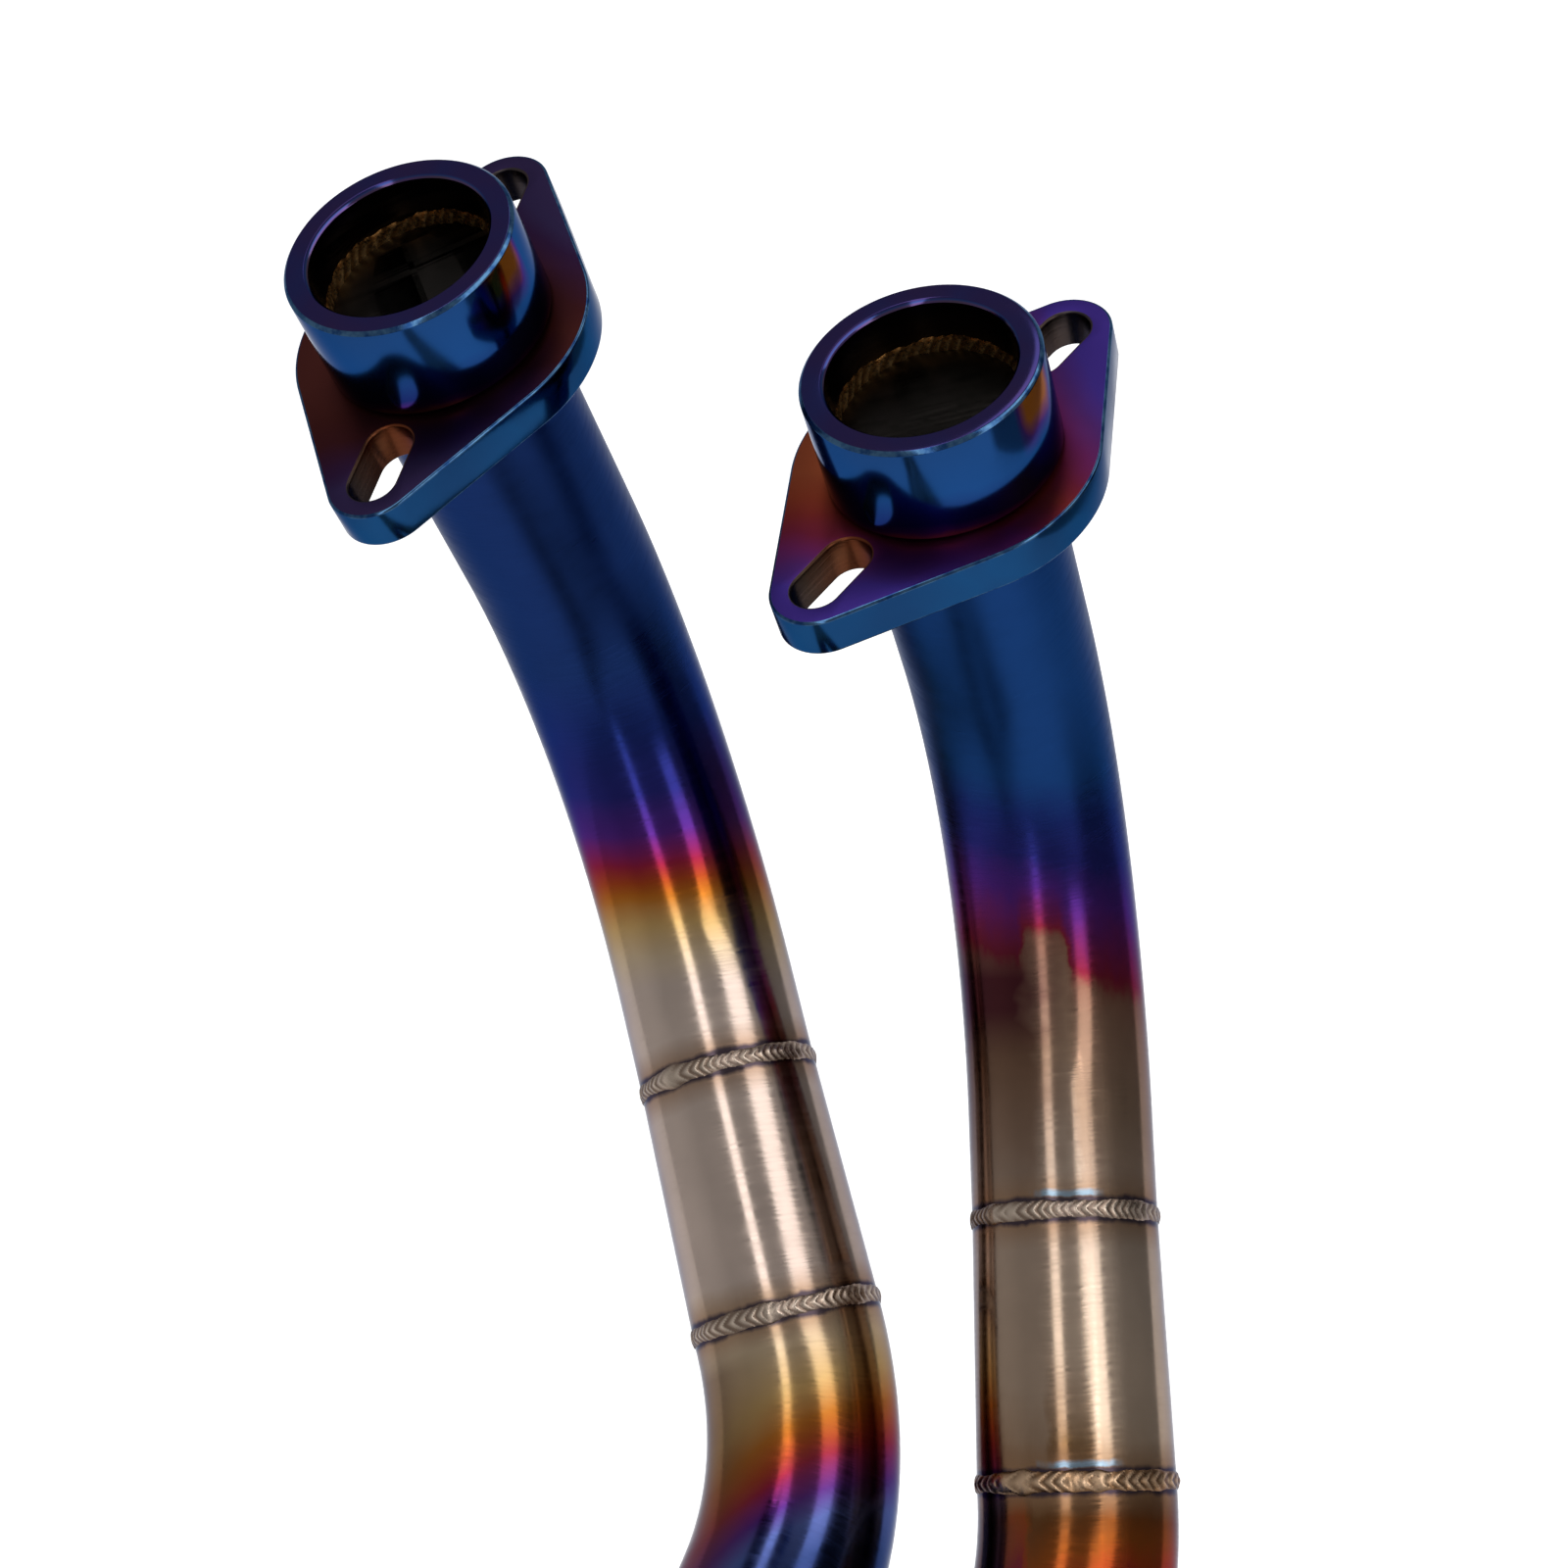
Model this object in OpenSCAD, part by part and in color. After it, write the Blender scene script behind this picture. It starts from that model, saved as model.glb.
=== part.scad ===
// Two-into-one exhaust link pipe for a twin, in millimetres.
// The origin is the centre of the left mouth, and +Z points out of it, towards the engine.
// +X runs from the left mouth towards the right one.

/* [Ports] */
// Distance from the left port's axis to the right mouth's centre
port_spacing = 94; // [80:0.5:120]
// How far the right mouth lies below the left one
port_step = 30.3; // [0:0.5:50]
// Tilt of the right port about the line between the mouths
right_port_tilt = -4.66; // [-8:0.1:8]

/* [Header tube] */
// Outside diameter of the upper tube
tube_od = 38.1; // [34:0.1:42]
// Wall of every tube
tube_wall = 1.2; // [1:0.1:2]
// Centreline radius of the first bend
upper_bend_r = 95.25; // [80:0.5:120]
// Left neck, from the mouth to the first bend
left_neck = 83.8; // [70:0.5:110]
// Right neck, from the mouth to the first bend
right_neck = 72.1; // [62:0.5:100]
// Direction of the left first bend, turned about the port axis
left_upper_roll = 65.3; // [50:0.5:80]
// Direction of the right first bend, turned about the port axis
right_upper_roll = 78.4; // [65:0.5:95]
// Angle of the left first bend
left_upper_angle = 67.5; // [60:0.5:75]
// Angle of the right first bend
right_upper_angle = 64.6; // [58:0.5:72]
// Straight tail of the left upper tube, up to the first weld
left_tail = 20.2; // [10:0.5:40]
// Straight tail of the right upper tube, up to the first weld
right_tail = 23.3; // [10:0.5:40]

/* [Middle and lower tubes] */
// Length of the middle tube, between the first and second welds
middle_length = 52.85; // [35:0.5:80]
// Outside diameter of the lower tube, which the middle tube widens to
lower_od = 40.15; // [38:0.05:44]
// Straight start of the lower tube, below the second weld
lower_start = 3.6; // [2:0.1:12]
// Centreline radius of the second bend
lower_bend_r = 71; // [60:0.5:90]
// Direction of the left second bend, turned from the first one
left_lower_roll = 34.8; // [25:0.5:45]
// Direction of the right second bend, turned from the first one
right_lower_roll = 38.9; // [30:0.5:50]
// Angle of the left second bend
left_lower_angle = 45; // [38:0.5:50]
// Angle of the right second bend
right_lower_angle = 45; // [38:0.5:50]
// Straight end of the left lower tube, up to the collector
left_run = 22.5; // [15:0.5:30]
// Straight end of the right lower tube, up to the collector
right_run = 10; // [6:0.5:20]

/* [Port collar] */
// Outside diameter of the collar
collar_od = 45.1; // [42:0.1:50]
// Height of the collar above the flange
collar_height = 21.9; // [18:0.1:30]
// Diameter of the collar's mouth
mouth_d = 35.4; // [32:0.1:37]
// Depth of the tube's end below the mouth
seat_depth = 12; // [9:0.5:16]
// Radial clearance of the tube in the collar's socket
socket_clearance = 0.05; // [0.02:0.01:0.2]
// Chamfer of the collar's edges
collar_chamfer = 0.7; // [0.3:0.1:1.5]

/* [Port flange] */
// Thickness of the flange
flange_thickness = 8.2; // [6:0.1:12]
// Radius of the flange's body
flange_body_r = 29.6; // [27:0.1:34]
// Radius of the flange's ears
ear_r = 9.3; // [8:0.1:12]
// Distance between the centres of the two stud slots
slot_spacing = 67; // [62:0.5:80]
// Width of a stud slot
slot_width = 9.4; // [7:0.1:11]
// Length of a stud slot, end to end
slot_length = 18; // [12:0.5:22]
// How far an ear's centre lies inside the centre of its slot's outer end
ear_inset = 0.6; // [0:0.1:2]
// Chamfer of the flange's edges
flange_chamfer = 0.5; // [0.2:0.1:1]
// Radial clearance of the tube in the flange's bore
flange_clearance = 0.55; // [0.3:0.05:1.5]
// Gap between the collar and the loose flange
flange_gap = 0.3; // [0.2:0.05:1]
// Direction of the left flange's ears
left_ear_turn = 90; // [0:1:180]
// Direction of the right flange's ears
right_ear_turn = 66.5; // [0:0.5:180]

/* [Weld beads] */
// Width of a bead along the tube
bead_width = 4.4; // [3:0.1:7]
// Height of a bead above the tube
bead_height = 0.95; // [0.5:0.05:1.6]
// Width of the bead inside a collar
root_width = 6; // [3:0.1:8]
// Height of the bead inside a collar
root_height = 0.8; // [0.4:0.05:1.2]
// Ripples round a bead
ripples = 33; // [24:1:48]
// Depth of a ripple, as a share of the bead's height
ripple_share = 0.5; // [0.1:0.05:0.7]
// Radial clearance between a bead and the round wall that it lies on
bead_clearance = 0.02; // [0.01:0.01:0.1]

/* [Collector] */
// Length of the collector, from the tubes' ends to the outlet
collector_length = 88; // [70:1:120]
// Outside diameter of the outlet sleeve
outlet_od = 50.8; // [45:0.1:60]
// Wall of the outlet sleeve and the collector
outlet_wall = 1.5; // [1:0.1:3]
// Length of the outlet sleeve
outlet_length = 48; // [30:1:80]
// Length of the straight lip at each of the collector's mouths
collector_lip = 5; // [3:0.5:10]

/* [Hidden] */
$fn = 96;
LEFT = 0;
RIGHT = 1;
tube_r = tube_od / 2;
lower_r = lower_od / 2;
collar_r = collar_od / 2;
mouth_r = mouth_d / 2;
socket_r = tube_r + socket_clearance;
flange_bore_r = tube_r + flange_clearance;
slot_r = slot_width / 2;
slot_half_run = (slot_length - slot_width) / 2;
ear_reach = slot_spacing / 2 + slot_half_run - ear_inset;
outlet_r = outlet_od / 2;
// Radius of the middle tube at the lower edge of the first weld
first_weld_r = tube_r + (lower_r - tube_r) * (bead_width / 2) / middle_length;
// A bead at the collector lies on the straight side of its joint
beside = bead_width / 2 + bead_clearance;
// How far a cutting tool runs past the face that it opens
overrun = 1;
// Flats round a swept tube, and the largest angle between two of its rings
tube_sides = 40;
bend_step = 7.5;

neck = [left_neck, right_neck];
upper_roll = [left_upper_roll, right_upper_roll];
upper_angle = [left_upper_angle, right_upper_angle];
tail = [left_tail, right_tail];
lower_roll = [left_lower_roll, right_lower_roll];
lower_angle = [left_lower_angle, right_lower_angle];
run = [left_run, right_run];
ear_turn = [left_ear_turn, right_ear_turn];

// Frames are 4 x 4 matrices. A pipe frame's +Z runs along the pipe, away from the engine,
// and its +X points to the inside of the next bend.
function shift(x, y, z) = [[1, 0, 0, x], [0, 1, 0, y], [0, 0, 1, z], [0, 0, 0, 1]];
function turn_x(a) = [[1, 0, 0, 0], [0, cos(a), -sin(a), 0], [0, sin(a), cos(a), 0], [0, 0, 0, 1]];
function turn_y(a) = [[cos(a), 0, sin(a), 0], [0, 1, 0, 0], [-sin(a), 0, cos(a), 0], [0, 0, 0, 1]];
function turn_z(a) = [[cos(a), -sin(a), 0, 0], [sin(a), cos(a), 0, 0], [0, 0, 1, 0], [0, 0, 0, 1]];
function along(length) = shift(0, 0, length);
function round_bend(radius, angle) = shift(radius, 0, 0) * turn_y(angle) * shift(-radius, 0, 0);
function place_of(frame) = [frame[0][3], frame[1][3], frame[2][3]];
function heading_of(frame) = [frame[0][2], frame[1][2], frame[2][2]];
function unit(v) = v / norm(v);
// A frame at a place, with its +Z along a heading
function aimed(place, heading) =
    let (tilt = acos(heading.z), spin = atan2(heading.y, heading.x))
    shift(place.x, place.y, place.z) * turn_z(spin) * turn_y(tilt);

PORT = [shift(0, 0, 0), shift(port_spacing, 0, -port_step) * turn_x(right_port_tilt)];
MOUTH = [for (side = [LEFT, RIGHT]) PORT[side] * turn_x(180) * turn_z(upper_roll[side])];
TUBE_START = [for (side = [LEFT, RIGHT]) MOUTH[side] * along(seat_depth)];
FIRST_WELD = [
    for (side = [LEFT, RIGHT])
        MOUTH[side] * along(neck[side]) * round_bend(upper_bend_r, upper_angle[side]) * along(tail[side])
];
SECOND_WELD = [for (side = [LEFT, RIGHT]) FIRST_WELD[side] * along(middle_length)];
LOWER_START = [for (side = [LEFT, RIGHT]) SECOND_WELD[side] * turn_z(lower_roll[side])];
THIRD_WELD = [
    for (side = [LEFT, RIGHT])
        LOWER_START[side] * along(lower_start) * round_bend(lower_bend_r, lower_angle[side])
        * along(run[side])
];
collector_heading = unit(heading_of(THIRD_WELD[LEFT]) + heading_of(THIRD_WELD[RIGHT]));
collector_middle = (place_of(THIRD_WELD[LEFT]) + place_of(THIRD_WELD[RIGHT])) / 2;
OUTLET = aimed(collector_middle + collector_length * collector_heading, collector_heading);

// Frames along a tube that starts straight, bends towards +X and ends straight
function bent_path(start, bend_r, angle, end) =
    let (steps = ceil(angle / bend_step), bend_end = along(start) * round_bend(bend_r, angle))
    concat(
        [along(0)],
        [for (k = [0:steps]) along(start) * round_bend(bend_r, angle * k / steps)],
        [bend_end * along(end)]
    );

function ring_points(frame, radius) = [
    for (i = [0:tube_sides - 1])
        let (a = 360 * i / tube_sides, p = frame * [radius * cos(a), radius * sin(a), 0, 1])
        [p.x, p.y, p.z]
];

// A tube swept along a path: the outer skin's rings first, then the inner skin's
module swept_tube(path, outer_r) {
    rings = len(path);
    inner = rings * tube_sides;
    points = concat(
        [for (frame = path) each ring_points(frame, outer_r)],
        [for (frame = path) each ring_points(frame, outer_r - tube_wall)]
    );
    function at(ring, i) = ring * tube_sides + i % tube_sides;
    last = rings - 1;
    skins = [
        for (ring = [0:last - 1], i = [0:tube_sides - 1]) each [
            [at(ring, i), at(ring + 1, i), at(ring + 1, i + 1), at(ring, i + 1)],
            [inner + at(ring, i), inner + at(ring, i + 1), inner + at(ring + 1, i + 1), inner + at(ring + 1, i)]
        ]
    ];
    ends = [
        for (i = [0:tube_sides - 1]) each [
            [at(0, i), at(0, i + 1), inner + at(0, i + 1), inner + at(0, i)],
            [at(last, i), inner + at(last, i), inner + at(last, i + 1), at(last, i + 1)]
        ]
    ];
    polyhedron(points = points, faces = concat(skins, ends), convexity = 6);
}

module collar(side) {
    color("royalblue") multmatrix(PORT[side]) rotate_extrude() polygon([
        [mouth_r + collar_chamfer, 0],
        [collar_r - collar_chamfer, 0],
        [collar_r, -collar_chamfer],
        [collar_r, -collar_height + collar_chamfer],
        [collar_r - collar_chamfer, -collar_height],
        [socket_r, -collar_height],
        [socket_r, -seat_depth],
        [mouth_r, -seat_depth],
        [mouth_r, -collar_chamfer]
    ]);
}

module chamfered_disc(radius, thickness, chamfer) {
    rotate_extrude($fn = 64) polygon([
        [0, 0], [radius - chamfer, 0], [radius, chamfer],
        [radius, thickness - chamfer], [radius - chamfer, thickness], [0, thickness]
    ]);
}

// A slot along X, cut right through the flange
module stud_slot() {
    height = flange_thickness + 2 * overrun;
    translate([0, 0, -overrun]) {
        for (x = [-slot_half_run, slot_half_run]) translate([x, 0, 0]) cylinder(r = slot_r, h = height);
        translate([-slot_half_run, -slot_r, 0]) cube([2 * slot_half_run, slot_width, height]);
    }
}

module flange(side) {
    color("steelblue") multmatrix(PORT[side] * along(-collar_height - flange_gap - flange_thickness) * turn_z(ear_turn[side]))
    difference() {
        hull() {
            chamfered_disc(flange_body_r, flange_thickness, flange_chamfer);
            for (x = [-ear_reach, ear_reach])
                translate([x, 0, 0]) chamfered_disc(ear_r, flange_thickness, flange_chamfer);
        }
        translate([0, 0, -overrun]) cylinder(r = flange_bore_r, h = flange_thickness + 2 * overrun);
        for (x = [-slot_spacing / 2, slot_spacing / 2]) translate([x, 0, 0]) stud_slot();
    }
}

module upper_tube(side) {
    color("mediumblue") multmatrix(TUBE_START[side])
        swept_tube(bent_path(neck[side] - seat_depth, upper_bend_r, upper_angle[side], tail[side]), tube_r);
}

module middle_tube(side) {
    widening = (lower_r - tube_r) / middle_length * overrun;
    color("tan") multmatrix(FIRST_WELD[side]) difference() {
        cylinder(r1 = tube_r, r2 = lower_r, h = middle_length);
        translate([0, 0, -overrun]) cylinder(
            r1 = tube_r - tube_wall - widening,
            r2 = lower_r - tube_wall + widening,
            h = middle_length + 2 * overrun
        );
    }
}

module lower_tube(side) {
    color("peru") multmatrix(LOWER_START[side])
        swept_tube(bent_path(lower_start, lower_bend_r, lower_angle[side], run[side]), lower_r);
}

// A rippled bead round a tube. Each ripple falls away in three steps, and the steps at the
// bead's edges lag behind those at its crown, so that each ripple is a crescent.
// rise is the bead's height: above zero it stands out from the wall, below zero it stands in.
module weld_bead(wall_r, width, rise) {
    steps = 3;
    count = ripples * steps;
    crown = [0, 0.8, 1, 0.8, 0];
    lag = [2, 1, 0, 1, 2];
    rows = len(crown);
    outward = rise > 0 ? 1 : -1;
    seat_r = rise > 0 ? wall_r / cos(180 / count) + bead_clearance : wall_r - bead_clearance;
    function fall(step) = 1 - ripple_share * (step % steps) / (steps - 1);
    function reach(i, j) = seat_r + rise * crown[j] * fall(i + lag[j]);
    points = [
        for (i = [0:count - 1], j = [0:rows - 1])
            let (a = 360 * i / count, r = reach(i, j))
            [r * cos(a), r * sin(a), width * (j / (rows - 1) - 0.5)]
    ];
    function at(i, j) = (i % count) * rows + j % rows;
    function quad(a, b, c, d) = outward > 0 ? [[a, b, c], [a, c, d]] : [[a, c, b], [a, d, c]];
    faces = [
        for (i = [0:count - 1], j = [0:rows - 1])
            each quad(at(i, j), at(i, j + 1), at(i + 1, j + 1), at(i + 1, j))
    ];
    polyhedron(points = points, faces = faces, convexity = 4);
}

// A collector leg, from a lower tube's end to the outlet, grown by extra at both ends
module collector_leg(side, inlet_r, end_r, extra) {
    hull() {
        multmatrix(THIRD_WELD[side]) translate([0, 0, -extra]) cylinder(r = inlet_r, h = collector_lip, $fn = 48);
        multmatrix(OUTLET) translate([0, 0, extra - collector_lip]) cylinder(r = end_r, h = collector_lip, $fn = 48);
    }
}

module collector() {
    color("rosybrown") difference() {
        for (side = [LEFT, RIGHT]) collector_leg(side, lower_r, outlet_r, 0);
        for (side = [LEFT, RIGHT])
            collector_leg(side, lower_r - outlet_wall, outlet_r - outlet_wall, overrun);
    }
}

module outlet_sleeve() {
    color("gray") multmatrix(OUTLET) difference() {
        cylinder(r = outlet_r, h = outlet_length);
        translate([0, 0, -overrun]) cylinder(r = outlet_r - outlet_wall, h = outlet_length + 2 * overrun);
    }
}

module collar_weld(side) {
    color("goldenrod") multmatrix(PORT[side] * along(-seat_depth)) weld_bead(mouth_r, root_width, -root_height);
}

module outer_weld(frame, wall_r) {
    color("silver") multmatrix(frame) weld_bead(wall_r, bead_width, bead_height);
}

// A smooth bead, dressed flush of ripples, with the section of a low arch
module smooth_weld(frame, wall_r) {
    arch_r = (pow(bead_width / 2, 2) + pow(bead_height, 2)) / (2 * bead_height);
    seat_r = wall_r + bead_clearance;
    color("silver") multmatrix(frame) rotate_extrude() intersection() {
        translate([seat_r + bead_height - arch_r, 0]) circle(r = arch_r);
        translate([seat_r, -bead_width]) square([2 * bead_height, 2 * bead_width]);
    }
}

collar(LEFT);  // left_collar
collar_weld(LEFT);  // left_collar_weld
flange(LEFT);  // left_flange
upper_tube(LEFT);  // left_upper_tube
outer_weld(FIRST_WELD[LEFT], first_weld_r);  // left_first_weld
middle_tube(LEFT);  // left_middle_tube
outer_weld(SECOND_WELD[LEFT], lower_r);  // left_second_weld
lower_tube(LEFT);  // left_lower_tube
smooth_weld(THIRD_WELD[LEFT] * along(-beside), lower_r);  // left_third_weld
collar(RIGHT);  // right_collar
collar_weld(RIGHT);  // right_collar_weld
flange(RIGHT);  // right_flange
upper_tube(RIGHT);  // right_upper_tube
outer_weld(FIRST_WELD[RIGHT], first_weld_r);  // right_first_weld
middle_tube(RIGHT);  // right_middle_tube
outer_weld(SECOND_WELD[RIGHT], lower_r);  // right_second_weld
lower_tube(RIGHT);  // right_lower_tube
smooth_weld(THIRD_WELD[RIGHT] * along(-beside), lower_r);  // right_third_weld
collector();
smooth_weld(OUTLET * along(beside), outlet_r);  // collector_weld
outlet_sleeve();
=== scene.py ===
"""Dresses the two-into-one exhaust link pipe: heat-tinted header tubes with turned port collars,
loose slotted flanges and rippled weld beads, joined in a bare merge collector."""

from math import acos, ceil, cos, degrees, exp, pi, radians, sin, sqrt, tau

import bmesh
import bpy
from mathutils import Matrix, Vector


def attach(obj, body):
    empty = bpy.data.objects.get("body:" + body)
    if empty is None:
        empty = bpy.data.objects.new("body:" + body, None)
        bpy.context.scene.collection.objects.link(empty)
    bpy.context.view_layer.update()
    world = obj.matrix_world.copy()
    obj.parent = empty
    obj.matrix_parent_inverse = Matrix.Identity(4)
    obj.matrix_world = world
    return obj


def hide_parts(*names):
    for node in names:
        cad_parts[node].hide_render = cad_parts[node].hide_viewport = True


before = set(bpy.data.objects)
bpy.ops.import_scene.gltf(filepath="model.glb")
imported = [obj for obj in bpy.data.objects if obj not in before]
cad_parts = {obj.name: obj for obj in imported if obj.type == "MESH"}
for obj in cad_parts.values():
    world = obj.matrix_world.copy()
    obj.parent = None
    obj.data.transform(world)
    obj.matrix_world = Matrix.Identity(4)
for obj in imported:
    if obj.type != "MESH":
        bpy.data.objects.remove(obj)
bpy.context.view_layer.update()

MM = 0.001
LEFT, RIGHT = 0, 1
SIDE_NAMES = ("left", "right")

# Ports
PORT_SPACING = 94 * MM
PORT_STEP = 30.3 * MM
RIGHT_PORT_TILT = -4.66

# Tubes: one value for the left branch and one for the right where they differ
TUBE_R = 38.1 / 2 * MM
TUBE_WALL = 1.2 * MM
UPPER_BEND_R = 95.25 * MM
NECK = (83.8 * MM, 72.1 * MM)
UPPER_ROLL = (65.3, 78.4)
UPPER_ANGLE = (67.5, 64.6)
TAIL = (20.2 * MM, 23.3 * MM)
MIDDLE_LENGTH = 52.85 * MM
LOWER_R = 40.15 / 2 * MM
LOWER_START = 3.6 * MM
LOWER_BEND_R = 71 * MM
LOWER_ROLL = (34.8, 38.9)
LOWER_ANGLE = (45, 45)
RUN = (22.5 * MM, 10 * MM)

# Port collar
COLLAR_R = 45.1 / 2 * MM
COLLAR_HEIGHT = 21.9 * MM
MOUTH_R = 35.4 / 2 * MM
SEAT_DEPTH = 12 * MM
SOCKET_R = TUBE_R + 0.05 * MM
COLLAR_CHAMFER = 0.7 * MM

# Port flange
FLANGE_THICKNESS = 8.2 * MM
FLANGE_BODY_R = 29.6 * MM
FLANGE_BORE_R = TUBE_R + 0.55 * MM
FLANGE_GAP = 0.3 * MM
FLANGE_ROUNDING = 0.5 * MM
EAR_R = 9.3 * MM
SLOT_SPACING = 67 * MM
SLOT_R = 9.4 / 2 * MM
SLOT_HALF_RUN = 18 / 2 * MM - SLOT_R
EAR_REACH = SLOT_SPACING / 2 + SLOT_HALF_RUN - 0.6 * MM
EAR_TURN = (90, 66.5)

# Weld beads
BEAD_WIDTH = 4.4 * MM
BEAD_HEIGHT = 0.95 * MM
ROOT_WIDTH = 6 * MM
ROOT_HEIGHT = 0.8 * MM
BEAD_CLEARANCE = 0.02 * MM
BESIDE = BEAD_WIDTH / 2 + BEAD_CLEARANCE
BEAD_RIPPLES = 62
HOT_BEAD_RIPPLES = 46
ROOT_RIPPLES = 46
OUTLET_RIPPLES = 78

# Collector
COLLECTOR_LENGTH = 88 * MM
COLLECTOR_LIP = 5 * MM
OUTLET_R = 50.8 / 2 * MM
OUTLET_WALL = 1.5 * MM
OUTLET_LENGTH = 48 * MM

# Fineness of the round shapes
TUBE_SEGMENTS = 128
BEND_STEP = 1.5
BEAD_SEGMENTS = 640
TURNED_SEGMENTS = 160
CORNER_STEPS = 4

# Camera, set by the photograph's perspective
CAMERA_PLACE = Vector((260.652, -321.915, 322.058)) * MM
CAMERA_RIGHT = Vector((0.92704, 0.26553, -0.26473))
CAMERA_UP = Vector((-0.07192, 0.81885, 0.56948))
CAMERA_LENS = 64


def along(length):
    return Matrix.Translation((0, 0, length))


def turn(axis, angle):
    return Matrix.Rotation(radians(angle), 4, axis)


def round_bend(radius, angle):
    """A bend towards +X."""
    return Matrix.Translation((radius, 0, 0)) @ turn("Y", angle) @ Matrix.Translation((-radius, 0, 0))


def aimed(place, heading):
    """A frame at a place, with its +Z along a heading."""
    return Matrix.Translation(place) @ heading.to_track_quat("Z", "Y").to_matrix().to_4x4()


PORT = (Matrix(), Matrix.Translation((PORT_SPACING, 0, -PORT_STEP)) @ turn("X", RIGHT_PORT_TILT))
MOUTH = [PORT[side] @ turn("X", 180) @ turn("Z", UPPER_ROLL[side]) for side in (LEFT, RIGHT)]
FIRST_WELD = [
    MOUTH[side] @ along(NECK[side]) @ round_bend(UPPER_BEND_R, UPPER_ANGLE[side]) @ along(TAIL[side])
    for side in (LEFT, RIGHT)
]
SECOND_WELD = [FIRST_WELD[side] @ along(MIDDLE_LENGTH) for side in (LEFT, RIGHT)]
LOWER_TUBE = [SECOND_WELD[side] @ turn("Z", LOWER_ROLL[side]) for side in (LEFT, RIGHT)]
THIRD_WELD = [
    LOWER_TUBE[side] @ along(LOWER_START) @ round_bend(LOWER_BEND_R, LOWER_ANGLE[side]) @ along(RUN[side])
    for side in (LEFT, RIGHT)
]
COLLECTOR_HEADING = (THIRD_WELD[LEFT].col[2].xyz + THIRD_WELD[RIGHT].col[2].xyz).normalized()
COLLECTOR_MIDDLE = (THIRD_WELD[LEFT].translation + THIRD_WELD[RIGHT].translation) / 2
OUTLET = aimed(COLLECTOR_MIDDLE + COLLECTOR_LENGTH * COLLECTOR_HEADING, COLLECTOR_HEADING)

# Distance of each weld from the mouth, along the pipe
FIRST_WELD_AT = [
    NECK[side] + radians(UPPER_ANGLE[side]) * UPPER_BEND_R + TAIL[side]
    for side in (LEFT, RIGHT)
]
SECOND_WELD_AT = [FIRST_WELD_AT[side] + MIDDLE_LENGTH for side in (LEFT, RIGHT)]
THIRD_WELD_AT = [
    SECOND_WELD_AT[side] + LOWER_START + radians(LOWER_ANGLE[side]) * LOWER_BEND_R + RUN[side]
    for side in (LEFT, RIGHT)
]
# Length that the heat tints are given over
TINT_SPAN = 0.4


# Node helpers

def node(tree, kind, inputs=None, **settings):
    made = tree.nodes.new("ShaderNode" + kind)
    for setting, value in settings.items():
        setattr(made, setting, value)
    for socket, value in (inputs or {}).items():
        if isinstance(value, bpy.types.NodeSocket):
            tree.links.new(value, made.inputs[socket])
        else:
            made.inputs[socket].default_value = value
    return made


def math(tree, operation, a, b=0.0):
    return node(tree, "Math", {0: a, 1: b}, operation=operation).outputs[0]


def plus(tree, value, *others):
    for other in others:
        value = math(tree, "ADD", value, other)
    return value


def minus(tree, a, b):
    return math(tree, "SUBTRACT", a, b)


def times(tree, value, *others):
    for other in others:
        value = math(tree, "MULTIPLY", value, other)
    return value


def ranged(tree, value, from_min, from_max, to_min=0.0, to_max=1.0):
    return node(tree, "MapRange", {
        "Value": value, "From Min": from_min, "From Max": from_max, "To Min": to_min, "To Max": to_max,
    }).outputs["Result"]


def spread(tree, cloud, low, high):
    """A noise, which mostly lies between 0.3 and 0.7, brought to a range of its own."""
    return ranged(tree, cloud, 0.3, 0.7, low, high)


def mixed(tree, factor, a, b, blend="MIX"):
    """Two colours mixed, each a socket or a plain colour."""
    a, b = ((*one, 1) if isinstance(one, tuple) else one for one in (a, b))
    return node(tree, "Mix", {0: factor, 6: a, 7: b}, data_type="RGBA", blend_type=blend).outputs[2]


def noise(tree, vector, scale, detail, roughness):
    return node(tree, "TexNoise", {
        "Vector": vector, "Scale": scale, "Detail": detail, "Roughness": roughness,
    }).outputs["Fac"]


def scaled(tree, vector, factors):
    return node(tree, "VectorMath", {0: vector, 1: factors}, operation="MULTIPLY").outputs["Vector"]


def parts_of(tree, vector):
    return node(tree, "SeparateXYZ", {"Vector": vector}).outputs


def radius_of(tree, vector):
    """Distance from the pipe's or the collar's axis."""
    flat = scaled(tree, vector, (1, 1, 0))
    return node(tree, "VectorMath", {0: flat}, operation="LENGTH").outputs["Value"]


def grey(tree, level):
    return node(tree, "CombineColor", {0: level, 1: level, 2: level}).outputs["Color"]


def ramp(tree, factor, stops):
    """A colour ramp from (position, colour) stops."""
    made = node(tree, "ValToRGB", {"Fac": factor})
    elements = made.color_ramp.elements
    for index, (position, colour) in enumerate(stops):
        element = elements[index] if index < 2 else elements.new(position)
        element.position = position
        element.color = (*colour, 1)
    return made.outputs["Color"]


def node_group(name, inputs, outputs):
    """A shader node group, with inputs given as name, kind and value, and outputs as name and kind."""
    tree = bpy.data.node_groups.new(name, "ShaderNodeTree")
    for socket, kind, value in inputs:
        made = tree.interface.new_socket(socket, in_out="INPUT", socket_type="NodeSocket" + kind)
        made.default_value = value
    for socket, kind in outputs:
        tree.interface.new_socket(socket, in_out="OUTPUT", socket_type="NodeSocket" + kind)
    return tree, tree.nodes.new("NodeGroupInput").outputs, tree.nodes.new("NodeGroupOutput").inputs


def placed(tree, group, inputs):
    return node(tree, "Group", node_tree=group, inputs=inputs).outputs


# Patterns. Places are read on the straightened pipe: X and Y across it, Z along it from the mouth.

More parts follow.
